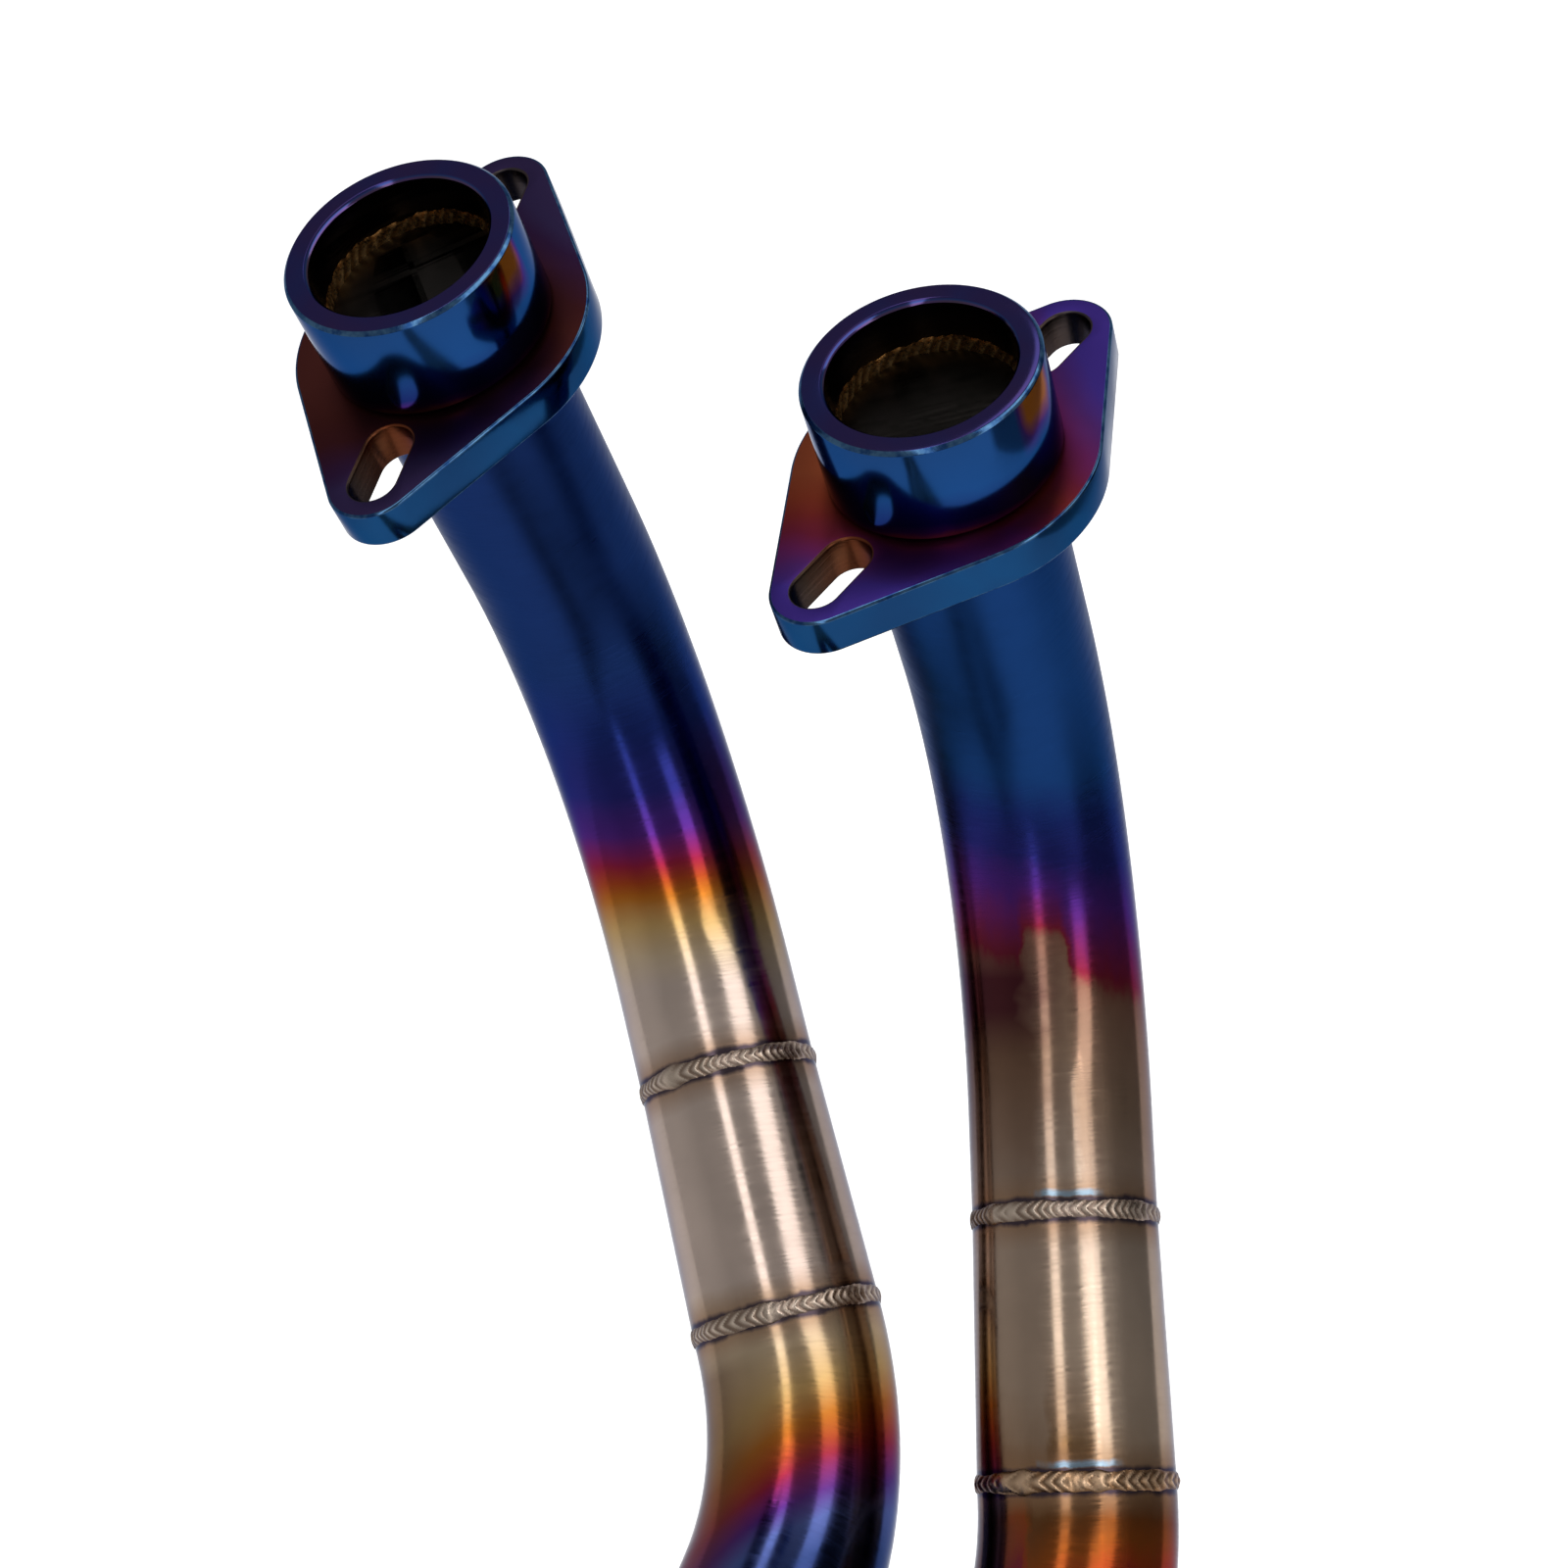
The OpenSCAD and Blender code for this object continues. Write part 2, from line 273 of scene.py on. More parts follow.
FINE_LINES = (110, 110, 1500)
COARSE_LINES = (160, 160, 620)


def brushed_grain():
    """Fine lines round the pipe, where the tube was brushed, and soft blotches."""
    tree, given, out = node_group(
        "brushed grain",
        [("Straight", "Vector", (0, 0, 0))],
        [("Lines", "Float"), ("Blotches", "Float"), ("Roughness", "Float")],
    )
    fine = noise(tree, scaled(tree, given["Straight"], FINE_LINES), 1, 2, 0.6)
    coarse = noise(tree, scaled(tree, given["Straight"], COARSE_LINES), 1, 3, 0.6)
    lines = plus(tree, times(tree, fine, 0.6), times(tree, coarse, 0.4))
    blotches = noise(tree, given["Straight"], 60, 3, 0.55)
    rough = plus(tree, spread(tree, lines, 0.09, 0.23), spread(tree, blotches, -0.02, 0.03))
    tree.links.new(lines, out["Lines"])
    tree.links.new(blotches, out["Blotches"])
    tree.links.new(rough, out["Roughness"])
    return tree


# Direction of the second bend's inside across the pipe, and how the fronts lag there
INWARD = (0.64, 0.77)
LAG = 0.23
INWARD_LAG = 18
INSIDE_FROM, INSIDE_TO = 3 * MM, 14 * MM
INSIDE_PAST_FROM, INSIDE_PAST_TO = 1 * MM, 12 * MM
# A tongue of the fronts that runs up the pipe where the tint was brushed off
TONGUE_ASIDE = 2.3 * MM
TONGUE_EDGE, TONGUE_CORE = 5.2 * MM, 3.6 * MM
TONGUE_FROM, TONGUE_TO = 122 * MM, 140 * MM
TONGUE_RUN = 10 * MM
TONGUE_EDGE_JAG, FRONT_JAG = 4 * MM, 5 * MM


def heat_front():
    """Distance along the pipe with the wobble of a heat tint's fronts, from 0 to 1 over its span.

    The fronts lean above the second weld and lag on the inside of the second bend, where the
    Inside mask rises. Tongue, 0 or 1, makes them ragged and lets a tongue run up the pipe."""
    tree, given, out = node_group(
        "heat front",
        [
            ("Straight", "Vector", (0, 0, 0)), ("Wobble", "Float", 0.0), ("Lean", "Float", 0.0),
            ("Second weld", "Float", 0.0), ("Tongue", "Float", 0.0),
        ],
        [("Position", "Float"), ("Inside", "Float")],
    )
    parts = parts_of(tree, given["Straight"])
    stretched = scaled(tree, given["Straight"], (1, 1, 0.5))
    wave = minus(tree, noise(tree, stretched, 38, 3, 0.6), 0.5)
    above = math(tree, "LESS_THAN", parts["Z"], given["Second weld"])
    lean = times(tree, parts["Y"], given["Lean"], above)
    past = math(tree, "MAXIMUM", minus(tree, parts["Z"], given["Second weld"]), 0.0)
    inward = plus(tree, times(tree, parts["X"], INWARD[0]), times(tree, parts["Y"], INWARD[1]))
    lag = times(tree, past, plus(tree, times(tree, inward, INWARD_LAG), LAG))
    front = minus(tree, plus(tree, parts["Z"], times(tree, wave, given["Wobble"]), lean), lag)
    ragged = minus(tree, noise(tree, stretched, 420, 3, 0.7), 0.5)
    beside = math(tree, "ABSOLUTE", plus(tree, parts["Y"], TONGUE_ASIDE))
    beside = plus(tree, beside, times(tree, ragged, TONGUE_EDGE_JAG))
    tongue = times(
        tree, ranged(tree, beside, TONGUE_EDGE, TONGUE_CORE),
        ranged(tree, parts["Z"], TONGUE_FROM, TONGUE_TO), TONGUE_RUN,
    )
    tongue = plus(tree, tongue, times(tree, ragged, FRONT_JAG))
    front = plus(tree, front, times(tree, tongue, given["Tongue"]))
    # Mask of the second bend's inside, which the tubes darken as painted shade
    inside = times(
        tree, ranged(tree, inward, INSIDE_FROM, INSIDE_TO),
        ranged(tree, past, INSIDE_PAST_FROM, INSIDE_PAST_TO),
    )
    tree.links.new(math(tree, "DIVIDE", front, TINT_SPAN), out["Position"])
    tree.links.new(inside, out["Inside"])
    return tree


HALO_JAG = 2.2 * MM
# Across the pipe, the pale blue patch keeps to where the strip highlight faces the camera: partly heat tint,
# partly painted highlight
BLUSH_ASIDE = 4 * MM
BLUSH_EDGE, BLUSH_CORE = 7.5 * MM, 4.5 * MM
BLUSH_JAG = 12 * MM


def weld_halo():
    """Dark and straw borders of the heat on both sides of a weld, and a pale blue patch above it, kept to
    where the strip highlight faces the camera: partly a blue heat tint, partly painted highlight.
    """
    tree, given, out = node_group(
        "weld halo",
        [("Straight", "Vector", (0, 0, 0)), ("Weld", "Float", 0.0), ("Reach", "Float", 0.0031)],
        [("Dark", "Float"), ("Straw", "Float"), ("Blue halo and sheen", "Float")],
    )
    parts = parts_of(tree, given["Straight"])
    ragged = minus(tree, noise(tree, scaled(tree, given["Straight"], (1, 1, 0.3)), 170, 3, 0.65), 0.5)
    away = math(tree, "ABSOLUTE", minus(tree, parts["Z"], given["Weld"]))
    away = plus(tree, away, times(tree, ragged, HALO_JAG))
    past = math(tree, "DIVIDE", away, given["Reach"])
    band = times(tree, ranged(tree, past, 0.80, 0.92), ranged(tree, past, 1.35, 1.10))
    above = math(tree, "LESS_THAN", parts["Z"], given["Weld"])
    beside = math(tree, "ABSOLUTE", plus(tree, parts["Y"], BLUSH_ASIDE))
    beside = plus(tree, beside, times(tree, ragged, BLUSH_JAG))
    blue_halo_and_sheen = times(tree, band, above, ranged(tree, beside, BLUSH_EDGE, BLUSH_CORE))
    tree.links.new(ranged(tree, past, 1.0, 0.72), out["Dark"])
    tree.links.new(ranged(tree, past, 2.5, 1.0), out["Straw"])
    tree.links.new(blue_halo_and_sheen, out["Blue halo and sheen"])
    return tree


def fine_scuffs():
    """Faint scratches and spots on polished metal."""
    tree, given, out = node_group(
        "fine scuffs",
        [("Vector", "Vector", (0, 0, 0)), ("Amount", "Float", 0.5)],
        [("Roughness", "Float"), ("Height", "Float")],
    )
    spots = noise(tree, given["Vector"], 260, 4, 0.6)
    haze = noise(tree, given["Vector"], 45, 2, 0.5)
    dulled = times(tree, ranged(tree, haze, 0.35, 0.7), given["Amount"])
    tree.links.new(plus(tree, times(tree, dulled, 0.16), 0.09), out["Roughness"])
    tree.links.new(times(tree, spots, given["Amount"]), out["Height"])
    return tree


GRAIN = brushed_grain()
FRONT = heat_front()
HALO = weld_halo()
SCUFFS = fine_scuffs()


def material(name):
    made = bpy.data.materials.new(name)
    made.use_nodes = True
    tree = made.node_tree
    tree.nodes.clear()
    shader = node(tree, "BsdfPrincipled", {"Metallic": 1.0, "Specular Tint": (0.5, 0.53, 0.62, 1)})
    output = node(tree, "OutputMaterial")
    tree.links.new(shader.outputs["BSDF"], output.inputs["Surface"])
    return made, tree, shader.inputs


def straight_of(tree):
    """Place on the straightened pipe, or in a piece's own frame."""
    return node(tree, "Attribute", attribute_name="straight").outputs["Vector"]


def set_finish(tree, shader, colour, roughness, height, strength, distance=0.1 * MM):
    tree.links.new(colour, shader["Base Color"])
    tree.links.new(roughness, shader["Roughness"])
    bump = node(tree, "Bump", {"Height": height, "Strength": strength, "Distance": distance})
    tree.links.new(bump.outputs["Normal"], shader["Normal"])


# Heat tints of steel, as base colours
STEEL_BLUE = (0.0075, 0.022, 0.095)
BRIGHT_BLUE = (0.0070, 0.034, 0.130)
PALE_BLUE = (0.045, 0.075, 0.230)
ROYAL_BLUE = (0.0090, 0.018, 0.110)
INDIGO = (0.015, 0.015, 0.115)
VIOLET = (0.055, 0.014, 0.140)
MAGENTA = (0.130, 0.012, 0.085)
DULL_MAGENTA = (0.105, 0.012, 0.072)
CRIMSON = (0.200, 0.011, 0.028)
DULL_CRIMSON = (0.155, 0.012, 0.024)
DARK_CRIMSON = (0.040, 0.007, 0.012)
SCARLET = (0.250, 0.035, 0.010)
ORANGE = (0.300, 0.095, 0.010)
BURNT_ORANGE = (0.190, 0.048, 0.009)
GOLD = (0.370, 0.235, 0.090)
OLD_GOLD = (0.180, 0.100, 0.045)
STRAW = (0.390, 0.300, 0.200)
DULL_STRAW = (0.300, 0.205, 0.135)
BARE = (0.388, 0.312, 0.268)
WARM_BARE = (0.385, 0.298, 0.232)
TAUPE = (0.380, 0.302, 0.260)
WARM_TAUPE = (0.385, 0.290, 0.215)
BROWN = (0.200, 0.130, 0.085)
BURNT_BROWN = (0.105, 0.040, 0.013)
# Browns of the right upper tube, from its crimson down to its first weld
BROWNS = (
    (0.151, (0.170, 0.080, 0.055)), (0.158, (0.200, 0.115, 0.078)), (0.178, (0.240, 0.158, 0.108)),
    (0.190, (0.270, 0.190, 0.140)), (0.202, (0.320, 0.245, 0.190)),
)
# Brown of the scorched flanks, also used as painted shade inside the second bend
SCORCH_AND_SHADE_BROWN = (0.085, 0.042, 0.026)
# Dark brown of the tube's inner wall
DARK_INNER_WALL = (0.018, 0.016, 0.014)
HALO_DARK = (0.026, 0.020, 0.034)
HALO_STRAW = (0.210, 0.120, 0.068)
# Pale blue above the right welds: partly heat tint, partly painted highlight
HALO_BLUE_AND_SHEEN = (0.160, 0.290, 0.400)

# Tints at their distance from the mouth, in metres
LEFT_TINT = (
    (0.000, STEEL_BLUE), (0.110, STEEL_BLUE), (0.130, ROYAL_BLUE), (0.147, INDIGO), (0.1575, VIOLET),
    (0.162, MAGENTA), (0.1660, CRIMSON), (0.170, SCARLET), (0.1745, ORANGE), (0.182, GOLD), (0.190, STRAW),
    (0.198, BARE), (0.262, TAUPE), (0.274, STRAW), (0.285, GOLD), (0.2925, ORANGE), (0.298, SCARLET),
    (0.3015, CRIMSON), (0.305, MAGENTA), (0.3095, VIOLET), (0.3155, PALE_BLUE), (0.325, BRIGHT_BLUE),
    (0.345, ROYAL_BLUE), (0.400, INDIGO),
)
RIGHT_TINT = (
    (0.000, BRIGHT_BLUE), (0.096, BRIGHT_BLUE), (0.108, ROYAL_BLUE), (0.119, INDIGO), (0.130, VIOLET),
    (0.140, DULL_MAGENTA), (0.1475, DULL_CRIMSON), *BROWNS, (0.212, WARM_BARE),
    (0.238, WARM_TAUPE), (0.248, DULL_STRAW), (0.256, OLD_GOLD),
    (0.262, BURNT_BROWN), (0.269, BURNT_ORANGE), (0.2745, SCARLET), (0.278, CRIMSON),
    (0.282, MAGENTA), (0.287, VIOLET), (0.294, PALE_BLUE), (0.303, BRIGHT_BLUE), (0.325, ROYAL_BLUE),
    (0.400, INDIGO),
)
TINTS = (LEFT_TINT, RIGHT_TINT)
WOBBLE = (0.006, 0.016)
LEAN = (0.20, 0.40)
TONGUE = (0.0, 1.0)
# How far the flank inside the second bend is darkened: painted shade, partly a brown tint
INSIDE_SHADE = 0.65

# Scorched flank below the tint, on the right of the left branch and on the left of the right one
SCORCH = (0.45, 0.95)
SCORCH_SIDE = (-1, 1)
SCORCH_EDGE = (7 * MM, -6 * MM)
SCORCH_CORE = (16 * MM, 3 * MM)
SCORCH_WAVER = 4 * MM
SCORCH_FROM, SCORCH_FULL = 134 * MM, 150 * MM
SCORCH_FADES, SCORCH_FADED, SCORCH_LEFT_OVER = 160 * MM, 205 * MM, 0.40
CRIMSON_END, BROWN_START = 158 * MM, 170 * MM

# Share of the weld halos' colours, the blue one for each side; the blue one is partly painted highlight
STRAW_SHARE = 0.7
DARK_SHARE = 0.9
BLUSH_AND_SHEEN_SHARE = (0.0, 0.65)
HALO_REACH = 3.1 * MM

# The neck is duller than the rest of the tube
NECK_DULLNESS = 0.17
NECK_FROM, NECK_TO = 95 * MM, 150 * MM
# Where the tube's inner wall starts and turns fully dark brown
INNER_WALL_FROM, INNER_WALL_FULL = TUBE_R - 0.05 * MM, TUBE_R - 0.15 * MM


def brushed_tube(side):
    """Brushed stainless tube with its heat tint and the halos of its three welds."""
    made, tree, shader = material(SIDE_NAMES[side] + " brushed tube")
    straight = straight_of(tree)
    parts = parts_of(tree, straight)
    grain = placed(tree, GRAIN, {"Straight": straight})
    front = placed(tree, FRONT, {
        "Straight": straight, "Wobble": WOBBLE[side], "Lean": LEAN[side],
        "Second weld": SECOND_WELD_AT[side], "Tongue": TONGUE[side],
    })
    colour = ramp(tree, front["Position"], [(at / TINT_SPAN, tint) for at, tint in TINTS[side]])
    # Painted shade, partly a brown tint: the flank inside the second bend is darkened towards brown
    colour = mixed(tree, times(tree, front["Inside"], INSIDE_SHADE), colour, SCORCH_AND_SHADE_BROWN)
    edge = times(tree, parts["Y"], SCORCH_SIDE[side])
    edge = plus(tree, edge, spread(tree, grain["Blotches"], -SCORCH_WAVER, SCORCH_WAVER))
    scorch = times(
        tree, ranged(tree, edge, SCORCH_EDGE[side], SCORCH_CORE[side]),
        ranged(tree, parts["Z"], SCORCH_FADES, SCORCH_FADED, 1.0, SCORCH_LEFT_OVER),
        ranged(tree, parts["Z"], SCORCH_FROM, SCORCH_FULL), SCORCH[side],
    )
    scorched = mixed(tree, ranged(tree, parts["Z"], CRIMSON_END, BROWN_START), DARK_CRIMSON, SCORCH_AND_SHADE_BROWN)
    colour = mixed(tree, scorch, colour, scorched)
    for weld_at in (FIRST_WELD_AT[side], SECOND_WELD_AT[side], THIRD_WELD_AT[side] - BESIDE):
        halo = placed(tree, HALO, {"Straight": straight, "Weld": weld_at, "Reach": HALO_REACH})
        colour = mixed(tree, times(tree, halo["Straw"], STRAW_SHARE), colour, HALO_STRAW)
        colour = mixed(tree, times(tree, halo["Dark"], DARK_SHARE), colour, HALO_DARK)
        # Pale blue above the welds: partly heat tint, partly painted highlight
        colour = mixed(tree, times(tree, halo["Blue halo and sheen"], BLUSH_AND_SHEEN_SHARE[side]), colour, HALO_BLUE_AND_SHEEN)
    # The tube's inner wall is made dark brown
    colour = mixed(tree, ranged(tree, radius_of(tree, straight), INNER_WALL_FROM, INNER_WALL_FULL), colour, DARK_INNER_WALL)
    shade = spread(tree, grain["Blotches"], 0.93, 1.07)
    colour = mixed(tree, 1.0, colour, grey(tree, shade), "MULTIPLY")
    rough = plus(tree, grain["Roughness"], ranged(tree, parts["Z"], NECK_FROM, NECK_TO, NECK_DULLNESS, 0.0))
    set_finish(tree, shader, colour, rough, grain["Lines"], 0.2, 0.12 * MM)
    return made


COLLAR_OUTSIDE = (
    (0.0, (0.010, 0.045, 0.150)), (0.55, (0.009, 0.050, 0.175)), (0.86, ROYAL_BLUE),
    (0.93, VIOLET), (0.975, BROWN),
)
COLLAR_LIP = ((0.3, (0.034, 0.020, 0.070)), (0.5, (0.026, 0.019, 0.080)), (0.7, (0.018, 0.022, 0.095)))
COLLAR_BORE = (
    (0.0, (0.060, 0.035, 0.110)), (0.2, (0.055, 0.040, 0.034)), (0.6, (0.090, 0.055, 0.032)),
    (1.0, (0.280, 0.150, 0.055)),
)
# Direction of the orange spot across the collar, its reach outwards and its depth
SPOT_X, SPOT_Y = 0.985, 0.174
SPOT_EDGE, SPOT_CORE = 21.5 * MM, 22.3 * MM
SPOT_DEEP, SPOT_SHALLOW = 12 * MM, 5 * MM


def polished_collar():
    """Turned and polished collar: blue outside with an orange spot, indigo on its lip, brown in its bore."""
    made, tree, shader = material("polished collar")
    straight = straight_of(tree)
    parts = parts_of(tree, straight)
    cloud = noise(tree, straight, 50, 3, 0.5)
    depth = plus(tree, parts["Z"], spread(tree, cloud, -1.5 * MM, 1.5 * MM))
    outside = ramp(tree, math(tree, "DIVIDE", depth, COLLAR_HEIGHT), COLLAR_OUTSIDE)
    spot = plus(tree, times(tree, parts["X"], SPOT_X), times(tree, parts["Y"], SPOT_Y))
    spot = times(tree, ranged(tree, spot, SPOT_EDGE, SPOT_CORE), ranged(tree, depth, SPOT_DEEP, SPOT_SHALLOW))
    outside = mixed(tree, ranged(tree, spot, 0.0, 0.45), outside, VIOLET)
    outside = mixed(tree, ranged(tree, spot, 0.35, 0.90), outside, ORANGE)
    on_lip = ranged(tree, parts["Z"], 0.4 * MM, 0.1 * MM)
    colour = mixed(tree, on_lip, outside, ramp(tree, cloud, COLLAR_LIP))
    in_bore = ranged(
        tree, radius_of(tree, straight), MOUTH_R + COLLAR_CHAMFER * 0.6, MOUTH_R + COLLAR_CHAMFER * 0.3,
    )
    bore_tint = ramp(tree, math(tree, "DIVIDE", depth, SEAT_DEPTH), COLLAR_BORE)
    colour = mixed(tree, in_bore, colour, bore_tint)
    scuffs = placed(tree, SCUFFS, {"Vector": straight, "Amount": 0.5})
    set_finish(tree, shader, colour, scuffs["Roughness"], scuffs["Height"], 0.05)
    return made


# Edge blue, and lighter patches that are partly wear and partly painted highlight
EDGE_BLUE = (0.010, 0.036, 0.112)
RUBBED_EDGE_AND_SHEEN = (0.045, 0.105, 0.190)


def polished_edge():
    """Thin edge, blue like the wall, with lighter patches that are partly rubbed-off tint and partly painted
    highlight for the chamfer's glint.
    """
    made, tree, shader = material("polished edge")
    place = straight_of(tree)
    # Lighter patches: partly wear, partly painted highlight
    rubbed_and_sheen = ranged(tree, noise(tree, place, 420, 3, 0.6), 0.35, 0.6)
    colour = mixed(tree, rubbed_and_sheen, EDGE_BLUE, RUBBED_EDGE_AND_SHEEN)
    scuffs = placed(tree, SCUFFS, {"Vector": place, "Amount": 1.0})
    set_finish(tree, shader, colour, scuffs["Roughness"], scuffs["Height"], 0.2)
    return made


# From a flange's middle out to its ears, as shares of its reach
FLANGE_TINTS = (
    (
        (0.06, (0.064, 0.016, 0.012)), (0.31, (0.047, 0.011, 0.009)), (0.46, (0.039, 0.009, 0.010)),
        (0.54, (0.033, 0.009, 0.020)), (0.66, (0.027, 0.010, 0.038)), (0.75, (0.027, 0.017, 0.056)),
    ),
    (
        (0.06, (0.180, 0.041, 0.016)), (0.20, (0.158, 0.027, 0.012)), (0.33, (0.132, 0.016, 0.014)),
        (0.44, (0.108, 0.011, 0.026)), (0.53, (0.096, 0.012, 0.066)), (0.64, (0.060, 0.016, 0.105)),
        (0.76, (0.038, 0.020, 0.165)),
    ),
)
FLANGE_REACH = 50 * MM
FLANGE_SKEW = 0.6
TINT_WAVER = 2 * MM
FLANGE_DULLNESS = 0.27


def tinted_flange(side):
    """Satin flange face: brown or orange beside the collar, then violet and blue out at the ears."""
    made, tree, shader = material(SIDE_NAMES[side] + " tinted flange")
    place = straight_of(tree)
    parts = parts_of(tree, place)
    cloud = noise(tree, place, 55, 3, 0.5)
    reach = minus(tree, math(tree, "ABSOLUTE", parts["X"]), times(tree, parts["Y"], FLANGE_SKEW))
    reach = plus(tree, reach, spread(tree, cloud, -TINT_WAVER, TINT_WAVER))
    colour = ramp(tree, math(tree, "DIVIDE", reach, FLANGE_REACH), FLANGE_TINTS[side])
    scuffs = placed(tree, SCUFFS, {"Vector": place, "Amount": 0.8})
    rough = plus(tree, scuffs["Roughness"], FLANGE_DULLNESS)
    set_finish(tree, shader, colour, rough, scuffs["Height"], 0.06)
    return made


RIM_CLOUDS = ((0.3, (0.008, 0.038, 0.112)), (0.5, (0.008, 0.050, 0.142)), (0.7, (0.010, 0.037, 0.110)))
RIM_NICK = (0.010, 0.014, 0.030)


def flange_rim():
    """Flange edge: even steel blue with a few nicks."""
    made, tree, shader = material("flange rim")
    place = straight_of(tree)
    nicks = ranged(tree, noise(tree, place, 240, 2, 0.4), 0.27, 0.2)
    colour = mixed(tree, nicks, ramp(tree, noise(tree, place, 40, 2, 0.5), RIM_CLOUDS), RIM_NICK)
    scuffs = placed(tree, SCUFFS, {"Vector": place, "Amount": 1.2})
    set_finish(tree, shader, colour, scuffs["Roughness"], scuffs["Height"], 0.12)
    return made


MILLED_LINES = (60, 60, 1800)
SLOT_TINT = (
    (0.0, (0.100, 0.026, 0.010)), (0.3, (0.088, 0.034, 0.016)), (0.6, (0.060, 0.038, 0.026)),
    (1.0, (0.036, 0.029, 0.030)),
)


def slot_wall():
    """Milled walls of the stud slots and the bore, orange towards the collar and dark at the ears."""
    made, tree, shader = material("milled slot wall")
    place = straight_of(tree)
    lines = noise(tree, scaled(tree, place, MILLED_LINES), 1, 2, 0.6)
    cloud = noise(tree, place, 90, 2, 0.5)
    reach = math(tree, "ABSOLUTE", parts_of(tree, place)["X"])
    reach = plus(tree, reach, spread(tree, cloud, -TINT_WAVER, TINT_WAVER))
    along_slot = ranged(tree, reach, SLOT_SPACING / 2 - 9 * MM, SLOT_SPACING / 2 + 9 * MM)
    set_finish(tree, shader, ramp(tree, along_slot, SLOT_TINT), spread(tree, lines, 0.25, 0.4), lines, 0.3)
    return made


def weld_metal(name, crest_highlight, valley_tone_and_shade, tinge_colour):
    """Weld metal: pale on each ripple's crest as painted highlight, and dark between ripples, partly its own
    tone and partly painted shade.
    """
    made, tree, shader = material(name)
    crest = node(tree, "Attribute", attribute_name="crest").outputs["Fac"]
    place = straight_of(tree)
    fine = noise(tree, place, 1400, 2, 0.6)
    tinge = ranged(tree, noise(tree, place, 150, 3, 0.6), 0.5, 0.8, 0.0, 0.7)
    # Painted highlight on the crests; between ripples the metal's own tone with painted shade
    colour = mixed(tree, ranged(tree, crest, 0.15, 0.75), valley_tone_and_shade, crest_highlight)
    colour = mixed(tree, tinge, colour, tinge_colour)
    set_finish(tree, shader, colour, spread(tree, fine, 0.2, 0.42), fine, 0.25)
    return made


COLLECTOR_TINT = (
    (0.00, VIOLET), (0.03, BROWN), (0.09, STRAW), (0.18, BARE), (0.50, BARE), (0.585, STRAW),
    (0.630, BROWN), (0.646, INDIGO), (0.66, BROWN), (0.70, STRAW), (0.78, BARE), (1.0, BARE),
)
SEAM_WAVER = 4 * MM


def bare_collector():
    """Collector sheet: satin steel, with straw and blue where its seams were hot."""
    made, tree, shader = material("bare collector")
    place = straight_of(tree)
    grain = placed(tree, GRAIN, {"Straight": place})
    waver = spread(tree, noise(tree, place, 30, 3, 0.6), -SEAM_WAVER, SEAM_WAVER)
    depth = plus(tree, parts_of(tree, place)["Z"], waver)
    colour = ramp(tree, ranged(tree, depth, -COLLECTOR_LENGTH, OUTLET_LENGTH), COLLECTOR_TINT)
    set_finish(tree, shader, colour, grain["Roughness"], grain["Lines"], 0.18, 0.12 * MM)
    return made


TUBE_MATERIAL = [brushed_tube(side) for side in (LEFT, RIGHT)]
COLLAR_MATERIAL = polished_collar()
EDGE_MATERIAL = polished_edge()
FLANGE_MATERIAL = [tinted_flange(side) for side in (LEFT, RIGHT)]
RIM_MATERIAL = flange_rim()
SLOT_MATERIAL = slot_wall()
# Crest colours are painted highlights, valley colours partly the metal's own tone and partly painted shade
BEAD_MATERIAL = weld_metal("weld bead", (0.52, 0.43, 0.35), (0.17, 0.12, 0.09), (0.28, 0.22, 0.19))
HOT_BEAD_MATERIAL = weld_metal(
    "scorched weld bead", (0.58, 0.40, 0.26), (0.12, 0.07, 0.04), (0.30, 0.15, 0.06),
)
# The root weld's bright crest colour is a painted glint in the dark bore
ROOT_MATERIAL = weld_metal("golden root weld", (1.0, 0.62, 0.24), (0.36, 0.17, 0.05), (0.70, 0.38, 0.13))
COLLECTOR_MATERIAL = bare_collector()


# Geometry

def lay_straight(shape, place):
    """Stores each vertex's place in a frame, for the patterns to follow."""
    layer = shape.verts.layers.float_vector.new("straight")
    back = place.inverted()
    for vert in shape.verts:
        vert[layer] = back @ vert.co


def finished(name, shape, materials, body, smooth_below=35):
    """Makes the piece, with its place in its mesh, and ties it to its node and body."""
    mesh = bpy.data.meshes.new(name)
    shape.to_mesh(mesh)
    shape.free()
    for one in materials:
        mesh.materials.append(one)
    mesh.shade_smooth()
    mesh.set_sharp_from_angle(angle=radians(smooth_below))
    piece = bpy.data.objects.new(name + "_dressed", mesh)
    bpy.context.scene.collection.objects.link(piece)
    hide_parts(name)
    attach(piece, body)


def ring_edges(verts):
    """The edges that join these vertices to one another."""
    chosen = set(verts)
    edges = {edge for vert in verts for edge in vert.link_edges}
    return [edge for edge in edges if all(vert in chosen for vert in edge.verts)]


